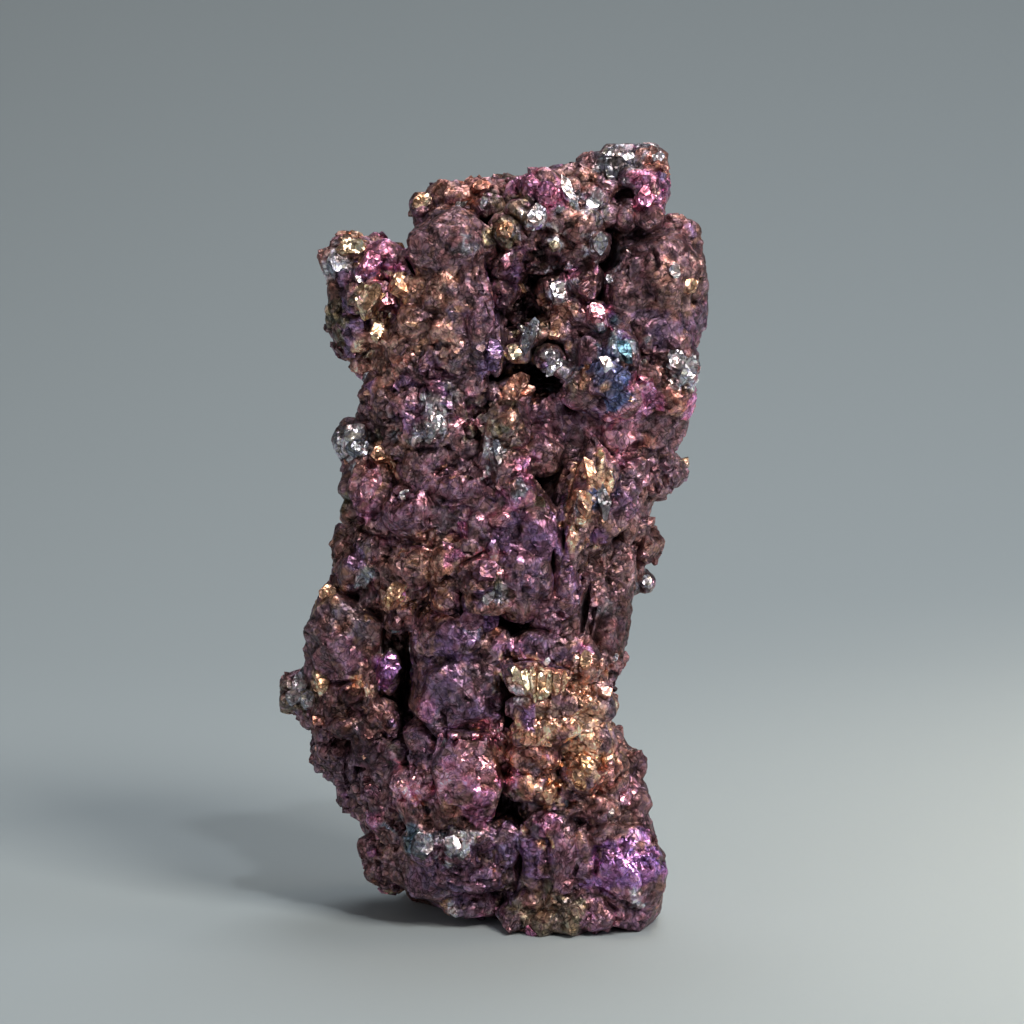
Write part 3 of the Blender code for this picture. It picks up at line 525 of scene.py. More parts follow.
clump.data.calc_loop_triangles()
with_modifier(clump, "DECIMATE", ratio=BODY_TRIANGLES / len(clump.data.loop_triangles))
points, _ = mesh_arrays(clump.data)
clump.data.vertices.foreach_set("co", np.clip(points, CAD_BOX[0], CAD_BOX[1]).ravel())
clump.data.update()


GOLDEN_ANGLE = 2.39996
RAY_LIFT = 0.06 * MM


def shelter(mesh, reach, rays):
    """The share of directions out of each point that meet the clump again within reach."""
    points, normals = mesh_arrays(mesh)
    normals = unit(smoothed(normals, mesh, rounds=2))
    side = unit(np.cross(normals, [0.31, 0.57, 0.76]))
    up = np.cross(normals, side)
    tree = BVHTree.FromPolygons(points.tolist(), [tuple(p.vertices) for p in mesh.polygons])
    met = np.zeros(len(points))
    starts = [Vector(p) for p in points + normals * RAY_LIFT]
    for i in range(rays):
        rise = math.sqrt(1 - (i + 0.5) / rays * 0.92)
        out = math.sqrt(1 - rise * rise)
        turn = i * GOLDEN_ANGLE
        ways = rise * normals + out * (math.cos(turn) * side + math.sin(turn) * up)
        for j, (start, way) in enumerate(zip(starts, ways)):
            if tree.ray_cast(start, Vector(way), reach)[0] is not None:
                met[j] += 1
    return met / rays


# How sheltered each point is. Below, this darkens the colour in the hollows as painted shade.
hollow = shelter(clump.data, reach=2.2 * MM, rays=10)
hollow = smoothed(hollow[:, None], clump.data, rounds=1)[:, 0]
add_attribute(clump.data, "hollow", hollow)


def add_node(tree, kind, inputs=(), **settings):
    """A node with these settings, and inputs that are values or other nodes' outputs."""
    made = tree.nodes.new(kind)
    for name, value in settings.items():
        setattr(made, name, value)
    for name, value in dict(inputs).items():
        if isinstance(value, bpy.types.NodeSocket):
            tree.links.new(value, made.inputs[name])
        else:
            made.inputs[name].default_value = value
    return made


def new_material(name):
    """A material, its node tree and its shader."""
    material = bpy.data.materials.new(name)
    material.use_nodes = True
    tree = material.node_tree
    return material, tree, tree.nodes["Principled BSDF"]


def ramp(tree, factor, stops):
    """A colour ramp through stops of position and sRGB hex code."""
    made = add_node(tree, "ShaderNodeValToRGB", {"Fac": factor})
    while len(made.color_ramp.elements) < len(stops):
        made.color_ramp.elements.new(0.5)
    for element, (position, code) in zip(made.color_ramp.elements, stops):
        element.position = position
        element.color = (*linear(code), 1)
    return made.outputs["Color"]


def ranged(tree, value, low, high, to_low, to_high):
    """value from low to high, spread over to_low to to_high and kept between them."""
    inputs = {"Value": value, "From Min": low, "From Max": high}
    inputs.update({"To Min": to_low, "To Max": to_high})
    return add_node(tree, "ShaderNodeMapRange", inputs).outputs["Result"]


def tilted_facets(tree, place, size):
    """Height of a crust of flat facets of this size, each tilted its own way."""
    cells = add_node(tree, "ShaderNodeTexVoronoi", {"Vector": place, "Scale": 1 / size})
    way = add_node(
        tree,
        "ShaderNodeVectorMath",
        {0: cells.outputs["Color"], 1: (0.5, 0.5, 0.5)},
        operation="SUBTRACT",
    )
    offset = add_node(
        tree,
        "ShaderNodeVectorMath",
        {0: place, 1: cells.outputs["Position"]},
        operation="SUBTRACT",
    )
    height = add_node(
        tree,
        "ShaderNodeVectorMath",
        {0: way.outputs["Vector"], 1: offset.outputs["Vector"]},
        operation="DOT_PRODUCT",
    )
    return height.outputs["Value"], cells.outputs["Color"]


def painted_crease_lines(tree, place, size, width, dark):
    """Painted shade along the creases: 1 on the facets of tilted_facets, and dark along most of the
    lines between them.
    """
    line_darkness_noise = add_node(tree, "ShaderNodeTexNoise", {"Vector": place, "Scale": 0.6 / size, "Detail": 1})
    darkest = ranged(tree, line_darkness_noise.outputs["Fac"], 0.38, 0.62, dark, 1.0)
    cells = add_node(
        tree,
        "ShaderNodeTexVoronoi",
        {"Vector": place, "Scale": 1 / size},
        feature="DISTANCE_TO_EDGE",
    )
    return ranged(tree, cells.outputs["Distance"], 0.2 * width, width, darkest, 1.0)


# Chalcocite, a metal-like sulphide, under its skin of tarnish. The eye gets dark metal that
# is wrinkled like foil: dull in most places, with painted shade in the hollows and creases and
# a painted highlight on edges, and clean and bright on single faces, which flash.
BEND_SIZE = 0.6 * MM
BEND_BY = 0.3 * MM
COARSE_FACET = 0.48 * MM
FINE_FACET = 0.16 * MM
SAME_WAY = 0.9 * MM
BLOTCH = 0.7 * MM
FULL_TURN = 6.28

tarnished, tree, shader = new_material("tarnished_chalcocite")
place = add_node(tree, "ShaderNodeTexCoord").outputs["Object"]
marks = {}
for name in ("tint", "clean", "ridge", "hollow"):
    found = add_node(tree, "ShaderNodeAttribute", attribute_name=name)
    marks[name] = found.outputs["Color" if name == "tint" else "Fac"]

# Wrinkles: coarse facets, and fine ones drawn out along a way that changes from patch to
# patch. The dull skin is calmer, and the clean faces are flatter.
bend = add_node(tree, "ShaderNodeTexNoise", {"Vector": place, "Scale": 1 / BEND_SIZE, "Detail": 1})
bent = add_node(
    tree,
    "ShaderNodeVectorMath",
    {0: bend.outputs["Color"], 1: (BEND_BY, BEND_BY, BEND_BY), 2: place},
    operation="MULTIPLY_ADD",
).outputs["Vector"]
coarse, coarse_cell = tilted_facets(tree, bent, COARSE_FACET)
group = add_node(tree, "ShaderNodeTexVoronoi", {"Vector": bent, "Scale": 1 / SAME_WAY})
turn = add_node(
    tree,
    "ShaderNodeVectorMath",
    {0: group.outputs["Color"], "Scale": FULL_TURN},
    operation="SCALE",
)
turned = add_node(
    tree,
    "ShaderNodeVectorRotate",
    {"Vector": bent, "Rotation": turn.outputs["Vector"]},
    rotation_type="EULER_XYZ",
)
drawn_out = add_node(
    tree,
    "ShaderNodeVectorMath",
    {0: turned.outputs["Vector"], 1: (1.0, 0.38, 1.0)},
    operation="MULTIPLY",
).outputs["Vector"]
fine, fine_cell = tilted_facets(tree, drawn_out, FINE_FACET)
tilt = add_node(
    tree,
    "ShaderNodeMath",
    {
        0: ranged(tree, marks["clean"], 0.12, 0.35, 0.30, 0.52),
        1: ranged(tree, marks["clean"], 0.5, 1.0, 1.0, 0.70),
    },
    operation="MULTIPLY",
).outputs["Value"]
wrinkle = add_node(
    tree, "ShaderNodeBump", {"Height": coarse, "Strength": tilt, "Distance": 1.0}
)
wrinkles = add_node(
    tree,
    "ShaderNodeBump",
    {"Height": fine, "Strength": 0.45, "Distance": 1.0, "Normal": wrinkle.outputs["Normal"]},
)

# Colour: each facet is lighter or darker, the lines between facets get painted shade as
# creases, edges get a painted highlight and creases painted shade, hollows get painted shade,
# and the film shifts the hue from blotch to blotch.
blotch = add_node(
    tree,
    "ShaderNodeTexNoise",
    {"Vector": place, "Scale": 1 / BLOTCH, "Detail": 2, "Roughness": 0.5},
).outputs["Fac"]
fine_shade = add_node(tree, "ShaderNodeSeparateColor", {"Color": fine_cell}).outputs["Red"]
coarse_shade = add_node(tree, "ShaderNodeSeparateColor", {"Color": coarse_cell}).outputs["Green"]
shade = add_node(
    tree,
    "ShaderNodeMath",
    {0: ranged(tree, blotch, 0.3, 0.7, 0.85, 1.15), 1: ranged(tree, fine_shade, 0, 1, 0.68, 1.32)},
    operation="MULTIPLY",
).outputs["Value"]
shade = add_node(
    tree,
    "ShaderNodeMath",
    {0: shade, 1: ranged(tree, coarse_shade, 0, 1, 0.72, 1.3)},
    operation="MULTIPLY",
).outputs["Value"]
# Painted shade along the creases between the coarse and the fine facets. The facets between them
# are a little brighter.
crease_shade = add_node(
    tree,
    "ShaderNodeMath",
    {
        0: painted_crease_lines(tree, bent, COARSE_FACET, width=0.10, dark=0.25),
        1: painted_crease_lines(tree, drawn_out, FINE_FACET, width=0.18, dark=0.25),
    },
    operation="MULTIPLY",
).outputs["Value"]
# Painted highlight on edges and painted shade in creases: the colour goes from 0.45 in a crease to
# 1.5 on an edge.
edge = ranged(tree, marks["ridge"], -0.7, 0.9, 0.45, 1.5)
# Painted shade: the colour darkens where a point is sheltered, as in the hollows.
hollow_shade = ranged(tree, marks["hollow"], 0.45, 0.95, 1.0, 0.15)
light = add_node(tree, "ShaderNodeMath", {0: shade, 1: edge}, operation="MULTIPLY")
light = add_node(
    tree,
    "ShaderNodeMath",
    {0: light.outputs["Value"], 1: ranged(tree, crease_shade, 0.18, 1.0, 0.35, 1.30)},
    operation="MULTIPLY",
)
light = add_node(tree, "ShaderNodeMath", {0: light.outputs["Value"], 1: hollow_shade}, operation="MULTIPLY")
film = ramp(
    tree,
    ranged(tree, blotch, 0.35, 0.65, 0, 1),
    ((0, "#f4ddd4"), (0.3, "#ecd2da"), (0.5, "#ffffff"), (0.7, "#dcd4ec"), (1, "#ece0d2")),
)
filmed = add_node(
    tree,
    "ShaderNodeMix",
    {"Factor": 1.0, "A": marks["tint"], "B": film},
    data_type="RGBA",
    blend_type="MULTIPLY",
)
lit = add_node(
    tree,
    "ShaderNodeVectorMath",
    {0: filmed.outputs["Result"], "Scale": light.outputs["Value"]},
    operation="SCALE",
)
links = {
    "Base Color": lit.outputs["Vector"],
    "Metallic": ranged(tree, marks["clean"], 0.1, 0.6, 0.78, 1.0),
    "Roughness": ranged(tree, marks["clean"], 0.1, 0.9, 0.48, 0.28),
    "Normal": wrinkles.outputs["Normal"],
}
for name, output in links.items():
    tree.links.new(output, shader.inputs[name])

SHARP_ANGLE = math.radians(30)
clump.data.materials.clear()
clump.data.materials.append(tarnished)
clump.data.polygons.foreach_set("use_smooth", np.ones(len(clump.data.polygons), bool))
clump.data.set_sharp_from_angle(angle=SHARP_ANGLE)
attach(clump, "root")
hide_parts("chalcocite")


# The bright crystals. Late, clean crystals stand half out of the crust where the clump
# catches the light: silver sulphide, some of it with a thin gold film. Each has one broad
# face that flashes towards the front.

# Tint, how clean it is, middle across and height as seen in millimetres, half width, half
# height, and lean to the right in degrees.
BRIGHT_CRYSTALS = (
    ("silver", 1.0, 6.5, 41.8, 0.22, 0.50, 80),
    ("silver", 1.0, 7.3, 41.6, 0.25, 0.20, 20),
    ("steel", 0.7, 6.4, 40.9, 0.34, 0.46, 15),
    ("silver", 1.0, 8.8, 41.5, 0.22, 0.34, -40),
    ("silver", 1.0, 4.2, 39.5, 0.26, 0.80, 20),
    ("silver", 1.0, 3.7, 38.7, 0.22, 0.18, 60),
    ("silver", 1.0, 2.4, 38.3, 0.40, 0.50, -25),
    ("silver", 0.9, 5.4, 39.0, 0.36, 0.24, 10),
    ("silver", 1.0, 5.7, 36.9, 0.32, 0.50, -15),
    ("silver", 1.0, 6.3, 35.1, 0.24, 0.20, 40),
    ("gold", 0.8, 0.8, 37.6, 0.32, 0.38, -20),
    ("pale gold", 0.9, 3.4, 36.8, 0.26, 0.20, 30),
    ("silver", 1.0, 3.6, 34.3, 0.34, 0.42, 20),
    ("silver", 1.0, -0.3, 39.1, 0.28, 0.20, 80),
    ("steel", 0.8, -1.5, 39.1, 0.30, 0.22, 40),
    ("pale gold", 1.0, -3.6, 39.2, 0.46, 0.36, 40),
    ("pale gold", 0.9, -7.3, 36.9, 0.62, 0.32, 12),
    ("steel", 0.7, -8.1, 35.9, 0.40, 0.50, 20),
    ("silver", 1.0, -6.9, 35.1, 0.14, 0.22, 20),
    ("pale gold", 1.0, -6.3, 34.0, 0.75, 0.45, 60),
    ("rose", 0.9, -5.5, 34.1, 0.40, 0.50, 0),
    ("magenta", 0.8, -6.4, 35.9, 0.40, 0.55, -30),
    ("gold", 0.6, -4.6, 34.8, 0.55, 0.50, -30),
    ("pale gold", 0.9, -5.9, 32.3, 0.34, 0.46, -20),
    ("magenta", 0.8, 8.2, 39.4, 0.40, 0.55, -20),
    ("magenta", 0.7, 3.0, 39.8, 0.40, 0.36, 0),
    ("copper", 0.7, -0.5, 40.1, 0.42, 0.26, 20),
    ("steel", 0.7, 2.1, 32.1, 0.75, 0.28, 65),
    ("pale gold", 0.8, 1.2, 31.2, 0.40, 0.30, -40),
    ("silver", 0.9, 3.0, 31.0, 0.35, 0.25, 50),
    ("silver", 1.0, 3.4, 30.4, 0.42, 0.20, 40),
    ("silver", 0.9, 6.1, 30.5, 0.22, 0.36, 30),
    ("silver", 0.9, 5.8, 32.6, 0.20, 0.20, 30),
    ("rose", 0.9, 5.6, 33.2, 0.34, 0.45, 10),
    ("teal", 0.6, 7.1, 31.2, 0.30, 0.46, 25),
    ("silver", 1.0, 9.9, 30.7, 0.42, 0.55, 30),
    ("silver", 1.0, 10.4, 30.2, 0.34, 0.60, -20),
    ("silver", 0.9, 9.7, 35.4, 0.24, 0.34, 10),
    ("gold", 0.8, 10.5, 34.7, 0.30, 0.30, 30),
    ("bronze", 0.7, 1.3, 29.1, 1.00, 0.42, 55),
    ("violet", 0.7, 0.2, 31.1, 0.34, 0.60, 0),
    ("silver", 0.9, -7.1, 26.9, 0.50, 0.50, 20),
    ("steel", 0.8, -7.0, 26.2, 0.50, 0.42, -20),
    ("silver", 1.0, -2.9, 27.2, 0.26, 0.62, -20),
    ("steel", 0.7, 0.4, 25.9, 0.20, 0.62, 10),
    ("gold", 0.9, -5.7, 25.8, 0.46, 0.38, 30),
    ("silver", 0.8, -4.5, 23.6, 0.28, 0.22, 40),
    ("rose", 0.8, -6.4, 24.1, 0.45, 0.70, -20),
    ("rose", 0.8, 0.6, 24.2, 0.30, 0.16, 70),
    ("magenta", 0.7, -1.2, 21.6, 0.60, 0.24, -60),
    ("mauve", 0.6, -0.2, 19.6, 0.50, 0.50, 0),
    ("silver", 0.7, -0.1, 18.2, 0.50, 0.24, 80),
    ("gold", 0.7, -5.0, 18.4, 0.62, 0.36, 60),
    ("gold", 0.7, -8.7, 18.3, 0.45, 0.36, 50),
    ("bright violet", 0.9, -5.4, 14.3, 0.42, 0.80, -10),
    ("pale gold", 1.0, -8.9, 13.5, 0.32, 0.62, 15),
    ("silver", 1.0, -10.2, 13.4, 0.42, 0.36, 20),
    ("silver", 1.0, -10.6, 12.7, 0.36, 0.30, -20),
    ("silver", 1.0, -9.7, 12.5, 0.34, 0.42, 40),
    ("steel", 0.8, -10.0, 13.9, 0.40, 0.24, 60),
    ("silver", 1.0, 8.3, 19.0, 0.26, 0.26, 0),
    ("pale gold", 0.55, 1.5, 14.0, 0.20, 0.42, 30),
    ("pale gold", 0.55, 1.9, 13.7, 0.18, 0.55, 12),
    ("pale gold", 0.65, 2.3, 13.6, 0.20, 0.60, 5),
    ("pale gold", 0.55, 2.7, 13.5, 0.18, 0.60, 0),
    ("pale gold", 0.65, 3.1, 13.6, 0.20, 0.50, -6),
    ("gold", 0.55, 3.5, 13.7, 0.18, 0.42, 4),
    ("gold", 0.8, 3.9, 13.8, 0.16, 0.36, 0),
    ("mauve", 0.3, -0.9, 16.9, 0.60, 0.45, 10),
    ("purple", 0.3, -0.1, 16.8, 0.50, 0.45, -10),
    ("gold", 0.8, 5.0, 14.8, 0.28, 0.50, 0),
    ("gold", 0.9, 5.1, 9.2, 0.30, 0.46, 10),
    ("gold", 0.9, 4.7, 8.5, 0.30, 0.40, 20),
    ("gold", 0.8, 3.2, 7.7, 0.36, 0.26, 70),
    ("rose", 0.8, 7.1, 7.4, 0.34, 0.45, 10),
    ("gold", 0.7, 5.3, 24.8, 0.26, 0.60, 14),
    ("gold", 0.7, 5.0, 23.2, 0.26, 0.60, 14),
    ("steel", 0.7, 5.9, 23.4, 0.30, 0.80, 15),
    ("steel", 0.7, -3.6, 4.9, 0.45, 0.55, -10),
    ("silver", 0.8, -2.0, 4.9, 0.36, 0.50, 20),
    ("silver", 0.8, -1.4, 4.6, 0.24, 0.40, -20),
)

# The line of sight, and the way a face looks when it throws the main lamp at the camera.
SIGHT = Vector((0, math.cos(ELEVATION), -math.sin(ELEVATION)))
FLASH = Vector((0.26, -0.85, 0.46)).normalized()

# A bright crystal and the smaller ones grown beside it, as shares of its size.
CLUSTER = (1.0, 0.62, 0.5, 0.42)


def cut_crystal(directions, reaches):
    """A convex crystal: a cube cut by a plane at each reach along each direction."""
    crystal = bmesh.new()
    bmesh.ops.create_cube(crystal, size=4 * max(reaches))
    for way, reach in zip(directions, reaches):
        around = crystal.verts[:] + crystal.edges[:] + crystal.faces[:]
        cut = bmesh.ops.bisect_plane(
            crystal, geom=around, plane_co=way * reach, plane_no=way, clear_outer=True
        )
        rim = [e for e in cut["geom_cut"] if isinstance(e, bmesh.types.BMEdge)]
        if rim:
            bmesh.ops.contextual_create(crystal, geom=rim)
    bmesh.ops.remove_doubles(crystal, verts=crystal.verts, dist=0.02 * max(reaches))
    bmesh.ops.recalc_face_normals(crystal, faces=crystal.faces)
    return crystal


def seen_on_the_clump(tree, x, v):
    """Where the line of sight at this place of the picture meets the clump."""
    depth = -20 * MM
    height = v * MM - (depth - SOLID_SHIFT[1] * MM + FRONT_DEPTH * MM) * SIGHT_SLOPE
    start = Vector(((x + SOLID_SHIFT[0]) * MM, depth, height))
    return tree.ray_cast(start, SIGHT)[0]


def mesh_from(crystals, name):
    """One mesh of many small ones, as lists of points and faces with a tint and cleanness."""
    points = []
    faces = []
    tint = []
    clean = []
    for crystal, colour, cleanness in crystals:
        first = len(points)
        points += [tuple(v.co) for v in crystal.verts]
        faces += [[first + v.index for v in f.verts] for f in crystal.faces]
        tint += [colour] * len(crystal.verts)
        clean += [cleanness] * len(crystal.verts)
        crystal.free()
    mesh = bpy.data.meshes.new(name)
    mesh.from_pydata(points, [], faces)
    mesh.validate()
    add_attribute(mesh, "tint", np.clip(np.array(tint), 0, 1))
    add_attribute(mesh, "clean", np.array(clean))
    add_attribute(mesh, "ridge", np.zeros(len(points)))
    add_attribute(mesh, "hollow", np.full(len(points), 0.3))
    obj = bpy.data.objects.new(name, mesh)
    bpy.context.collection.objects.link(obj)
    return obj


clump_tree = BVHTree.FromPolygons(
    [v.co.copy() for v in clump.data.vertices], [tuple(p.vertices) for p in clump.data.polygons]
)
made = []
for name, cleanness, x, v, half_width, half_height, lean in BRIGHT_CRYSTALS:
    spot = seen_on_the_clump(clump_tree, x, v)
    if spot is None:
        continue
    for share in CLUSTER:
        turn = Matrix.Rotation(math.radians(lean + (1 - share) * 90 * rng.normal()), 3, -SIGHT)
        broad = (FLASH + 0.12 * Vector(rng.normal(size=3))).normalized()
        side = broad.cross(Vector((0.1, 0.2, 1))).normalized()
        end = broad.cross(side)
        ways = [broad, -broad]
        for way in (side, end, side + 0.9 * end, side - 0.8 * end, broad + 1.2 * side):
            way = (way + 0.16 * Vector(rng.normal(size=3))).normalized()
            ways += [way, -way]

        # The broad face is cut nearest to the middle, so it is the largest.
        reaches = [0.55, 0.8, *rng.uniform(0.8, 1.0, 4), *rng.uniform(0.85, 1.1, 6)]
        crystal = cut_crystal(ways, reaches)
        thick = 0.4 * min(half_width, half_height) + 0.15 * max(half_width, half_height)
        sides = Vector((half_width, thick * 1.3, half_height)) * 1.2 * share * MM
        aside = Vector(rng.uniform(-1, 1, 3)) * (0.9 * (1 - share))
        middle = spot + turn @ Vector(aside * Vector((half_width, 0.1, half_height)) * MM)
        for vert in crystal.verts:
            vert.co = turn @ (Matrix.Diagonal(sides) @ vert.co) + middle
        crystal.verts.index_update()
        colour = np.array(linear(TINTS[name])) * rng.uniform(0.95, 1.3)
        made.append((crystal, colour, cleanness))
bright = mesh_from(made, "bright_crystals")
bright.data.materials.append(tarnished)
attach(bright, "root")


# The small crystals. A crust of crystals a few tenths of a millimetre across sits half sunk
# in the rugged parts of the clump. Most have its skin, and some are cleaner and brighter.

def crust_tree(shapes):
    """Geometry nodes that scatter half sunk crystals over a surface."""
    group = bpy.data.node_groups.new("small_crystals", "GeometryNodeTree")
    made = group.interface.new_socket
    made("Geometry", in_out="INPUT", socket_type="NodeSocketGeometry")
    for name in ("Crystals per square metre", "Apart", "Smallest", "Largest", "Sunk"):
        made(name, in_out="INPUT", socket_type="NodeSocketFloat")
    made("Material", in_out="INPUT", socket_type="NodeSocketMaterial")
    made("Geometry", in_out="OUTPUT", socket_type="NodeSocketGeometry")
    given = add_node(group, "NodeGroupInput").outputs
    rough = add_node(
        group, "GeometryNodeInputNamedAttribute", {"Name": "rugged"}, data_type="FLOAT"
    )
    share = add_node(
        group,
        "ShaderNodeMapRange",
        {"Value": rough.outputs["Attribute"], "From Min": 0.15, "From Max": 0.8},
    )
    scattered = add_node(
        group,
        "GeometryNodeDistributePointsOnFaces",
        {
            "Mesh": given["Geometry"],
            "Distance Min": given["Apart"],
            "Density Max": given["Crystals per square metre"],
            "Density Factor": share.outputs["Result"],
            "Seed": 5,
        },
        distribute_method="POISSON",
    )
    chance = add_node(group, "FunctionNodeRandomValue", {"Seed": 11}, data_type="FLOAT")
    stops = tuple((i / len(BRIGHT), TINTS[name]) for i, name in enumerate(BRIGHT))
    colours = ramp(group, chance.outputs[1], stops).node
    colours.color_ramp.interpolation = "CONSTANT"
    odd = add_node(
        group, "FunctionNodeRandomValue", {"Probability": 0.10, "Seed": 12}, data_type="BOOLEAN"
    ).outputs[3]
    own = add_node(
        group, "GeometryNodeInputNamedAttribute", {"Name": "tint"}, data_type="FLOAT_COLOR"
    )
    tint = add_node(
        group,
        "GeometryNodeSwitch",
        {"Switch": odd, "False": own.outputs["Attribute"], "True": colours.outputs["Color"]},
        input_type="RGBA",
    )
    kept = add_node(
        group,
        "GeometryNodeStoreNamedAttribute",
        {"Geometry": scattered.outputs["Points"], "Name": "tint", "Value": tint.outputs[0]},
        data_type="FLOAT_COLOR",
        domain="POINT",
    )
    own_clean = add_node(
        group, "GeometryNodeInputNamedAttribute", {"Name": "clean"}, data_type="FLOAT"
    )
    lift = add_node(
        group,
        "FunctionNodeRandomValue",
        {"Min": -0.1, "Max": 0.3, "Seed": 13},
        data_type="FLOAT",
    )
    clean = add_node(
        group, "ShaderNodeMath", {0: own_clean.outputs["Attribute"], 1: lift.outputs[1]}
    )
    kept = add_node(
        group,
        "GeometryNodeStoreNamedAttribute",
        {"Geometry": kept.outputs["Geometry"], "Name": "clean", "Value": clean.outputs["Value"]},
        data_type="FLOAT",
        domain="POINT",
    )
    pool = add_node(group, "GeometryNodeJoinGeometry")
    for shape in shapes:
        one = add_node(group, "GeometryNodeObjectInfo", {"Object": shape, "As Instance": True})
        group.links.new(one.outputs["Geometry"], pool.inputs["Geometry"])
    size = add_node(
        group,
        "FunctionNodeRandomValue",
        {"Min": given["Smallest"], "Max": given["Largest"], "Seed": 14},
        data_type="FLOAT",
    )
    turn = add_node(
        group,
        "FunctionNodeRandomValue",
        {"Min": (0, 0, 0), "Max": (FULL_TURN, FULL_TURN, FULL_TURN), "Seed": 15},
        data_type="FLOAT_VECTOR",
    )
    sunk = add_node(
        group,
        "ShaderNodeVectorMath",
        {0: scattered.outputs["Normal"], "Scale": given["Sunk"]},
        operation="SCALE",
    )
    kept = add_node(
        group,
        "GeometryNodeSetPosition",
        {"Geometry": kept.outputs["Geometry"], "Offset": sunk.outputs["Vector"]},
    )
    placed = add_node(
        group,
        "GeometryNodeInstanceOnPoints",
        {
            "Points": kept.outputs["Geometry"],
            "Instance": pool.outputs["Geometry"],
            "Pick Instance": True,
            "Rotation": turn.outputs[0],
            "Scale": size.outputs[1],
        },
    )
    whole = add_node(
        group, "GeometryNodeRealizeInstances", {"Geometry": placed.outputs["Instances"]}
    )
    painted = add_node(
        group,
        "GeometryNodeSetMaterial",
        {"Geometry": whole.outputs["Geometry"], "Material": given["Material"]},
    )
    end = add_node(group, "NodeGroupOutput")
    group.links.new(painted.outputs["Geometry"], end.inputs["Geometry"])
    return group


# Five shapes of small crystal: a prism of six faces with two faces at each end.
shapes = []
for i in range(5):
    ways = []
    for j in range(6):
        around = (j + rng.uniform(-0.3, 0.3)) * math.pi / 3
        rise = rng.uniform(-0.35, 0.35)
        ways.append(Vector((math.cos(around), math.sin(around), rise)).normalized())
    for end in (1, -1):
        for j in range(2):
            tip = Vector((rng.uniform(-0.7, 0.7), rng.uniform(-0.7, 0.7), end))
            ways.append(tip.normalized())
    crystal = cut_crystal(ways, list(rng.uniform(0.72, 1.0, len(ways))))
    stretch = Matrix.Diagonal((1.0, rng.uniform(0.65, 0.95), rng.uniform(0.8, 1.25)))
    for vert in crystal.verts:
        vert.co = stretch @ vert.co
    mesh = bpy.data.meshes.new("crystal_shape")
    crystal.to_mesh(mesh)
    crystal.free()
    shape = bpy.data.objects.new("crystal_shape_%d" % i, mesh)
    bpy.context.collection.objects.link(shape)
    shapes.append(shape)

crust = bpy.data.objects.new("small_crystals", clump.data.copy())
bpy.context.collection.objects.link(crust)
scatter = crust.modifiers.new("scatter", "NODES")
scatter.node_group = crust_tree(shapes)
settings = {
    "Crystals per square metre": 1.0e6,
    "Apart": 0.40 * MM,
    "Smallest": 0.16 * MM,
    "Largest": 0.34 * MM,
    "Sunk": -0.13 * MM,
    "Material": tarnished,
}
for socket in scatter.node_group.interface.items_tree:
    if socket.name in settings:
        scatter[socket.identifier] = settings[socket.name]
graph = bpy.context.evaluated_depsgraph_get()
mesh = bpy.data.meshes.new_from_object(crust.evaluated_get(graph))
crust.modifiers.clear()
crust.data = mesh
for shape in shapes:
    bpy.data.objects.remove(shape)
for obj in (bright, crust):
    points, _ = mesh_arrays(obj.data)
    obj.data.vertices.foreach_set("co", np.clip(points, CAD_BOX[0], CAD_BOX[1]).ravel())
    obj.data.update()
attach(crust, "root")


# The ground: a pale matt studio sweep. It is flat under the specimen and bends up behind it
# into a wall.
FLAT_TO = 0.08
BEND = 0.34
WALL_TOP = 0.9
FAR = 3.0
BEND_STEPS = 24
sweep = bmesh.new()
profile = [(-FAR, 0.0)]
for i in range(BEND_STEPS + 1):
    turn = math.pi / 2 * i / BEND_STEPS
    profile.append((FLAT_TO + BEND * math.sin(turn), BEND * (1 - math.cos(turn))))
profile.append((FLAT_TO + BEND, WALL_TOP))
rows = []
for depth, height in profile:
    rows.append([sweep.verts.new((side, depth, height)) for side in (-FAR, FAR)])
for low, high in zip(rows, rows[1:]):
    sweep.faces.new((low[0], low[1], high[1], high[0]))
mesh = bpy.data.meshes.new("sweep")
sweep.to_mesh(mesh)
sweep.free()
mesh.polygons.foreach_set("use_smooth", np.ones(len(mesh.polygons), bool))
floor = bpy.data.objects.new("sweep", mesh)
bpy.context.collection.objects.link(floor)

# Matt grey paper, which gives a soft even tone without a highlight.
paper, _, shader = new_material("matt_grey_paper")
shader.inputs["Base Color"].default_value = (*linear("#a8b4ba"), 1)
shader.inputs["Roughness"].default_value = 0.9
mesh.materials.append(paper)


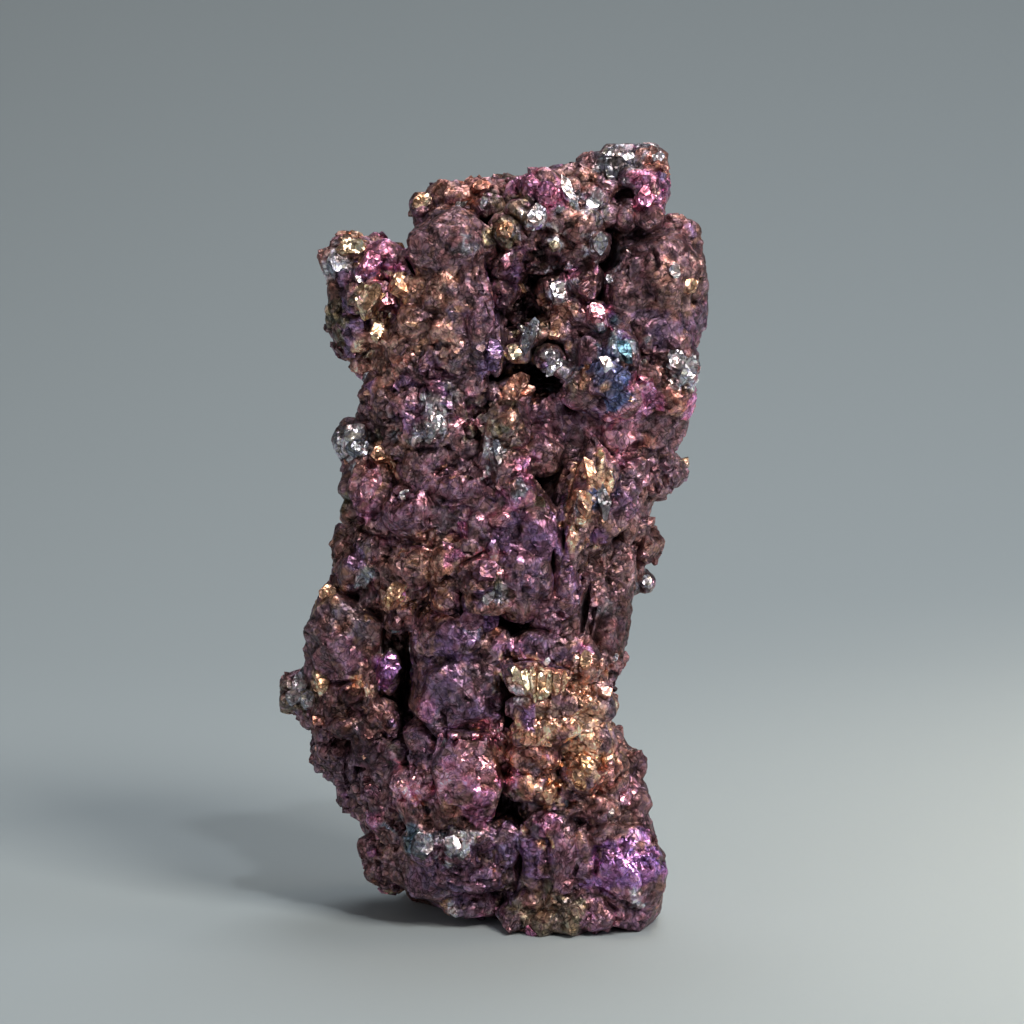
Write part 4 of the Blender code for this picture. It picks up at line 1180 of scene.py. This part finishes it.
# The light: a soft box high at the right front with a small hard lamp beside it, a weak fill
# at the left, a rim light behind, and two lamps for the paper.
def area_light(name, place, aim, size, power, tint):
    """A square lamp at a place, turned to its aim, and hidden from the camera."""
    data = bpy.data.lights.new(name, "AREA")
    data.shape = "SQUARE"
    data.size = size
    data.energy = power
    data.color = linear(tint)
    lamp = bpy.data.objects.new(name, data)
    lamp.location = place
    lamp.visible_camera = False
    lamp.rotation_euler = (Vector(aim) - Vector(place)).to_track_quat("-Z", "Y").to_euler()
    bpy.context.collection.objects.link(lamp)
    return data


MIDDLE = (0, 0, 21 * MM)
area_light("key", (0.13, -0.15, 0.21), MIDDLE, 0.09, 0.47, "#fff6ea")
area_light("spark", (0.05, -0.14, 0.26), MIDDLE, 0.014, 0.10, "#ffffff")
area_light("fill", (-0.22, -0.18, 0.08), MIDDLE, 0.16, 0.07, "#f6f2f4")
area_light("rim", (0.02, 0.09, 0.24), MIDDLE, 0.12, 0.20, "#ffffff")
area_light("backdrop", (0.30, -0.03, 0.09), (0.22, 0.16, -0.04), 0.25, 0.26, "#e6efff")
pool = area_light("pool", (0.13, 0.01, 0.25), (0.115, 0.0, 0.0), 0.10, 0.085, "#ffe9cc")
pool.spread = math.radians(42)

world = bpy.data.worlds.new("studio")
bpy.context.scene.world = world
world.use_nodes = True
background = world.node_tree.nodes["Background"]
background.inputs["Color"].default_value = (*linear("#9d9894"), 1)
background.inputs["Strength"].default_value = 0.36

# The camera looks from a little above, as the photograph was taken.
LOOKED_AT = Vector((1.17 + SOLID_SHIFT[0], 0, 22.77 - FRONT_DEPTH * SIGHT_SLOPE)) * MM
AWAY = 222 * MM
lens = bpy.data.cameras.new("camera")
lens.lens = 145
lens.sensor_width = 36
lens.clip_start = 0.01
camera = bpy.data.objects.new("camera", lens)
camera.location = LOOKED_AT - SIGHT * AWAY
camera.rotation_euler = SIGHT.to_track_quat("-Z", "Y").to_euler()
bpy.context.collection.objects.link(camera)
bpy.context.scene.camera = camera
bpy.context.scene.view_settings.view_transform = "Standard"
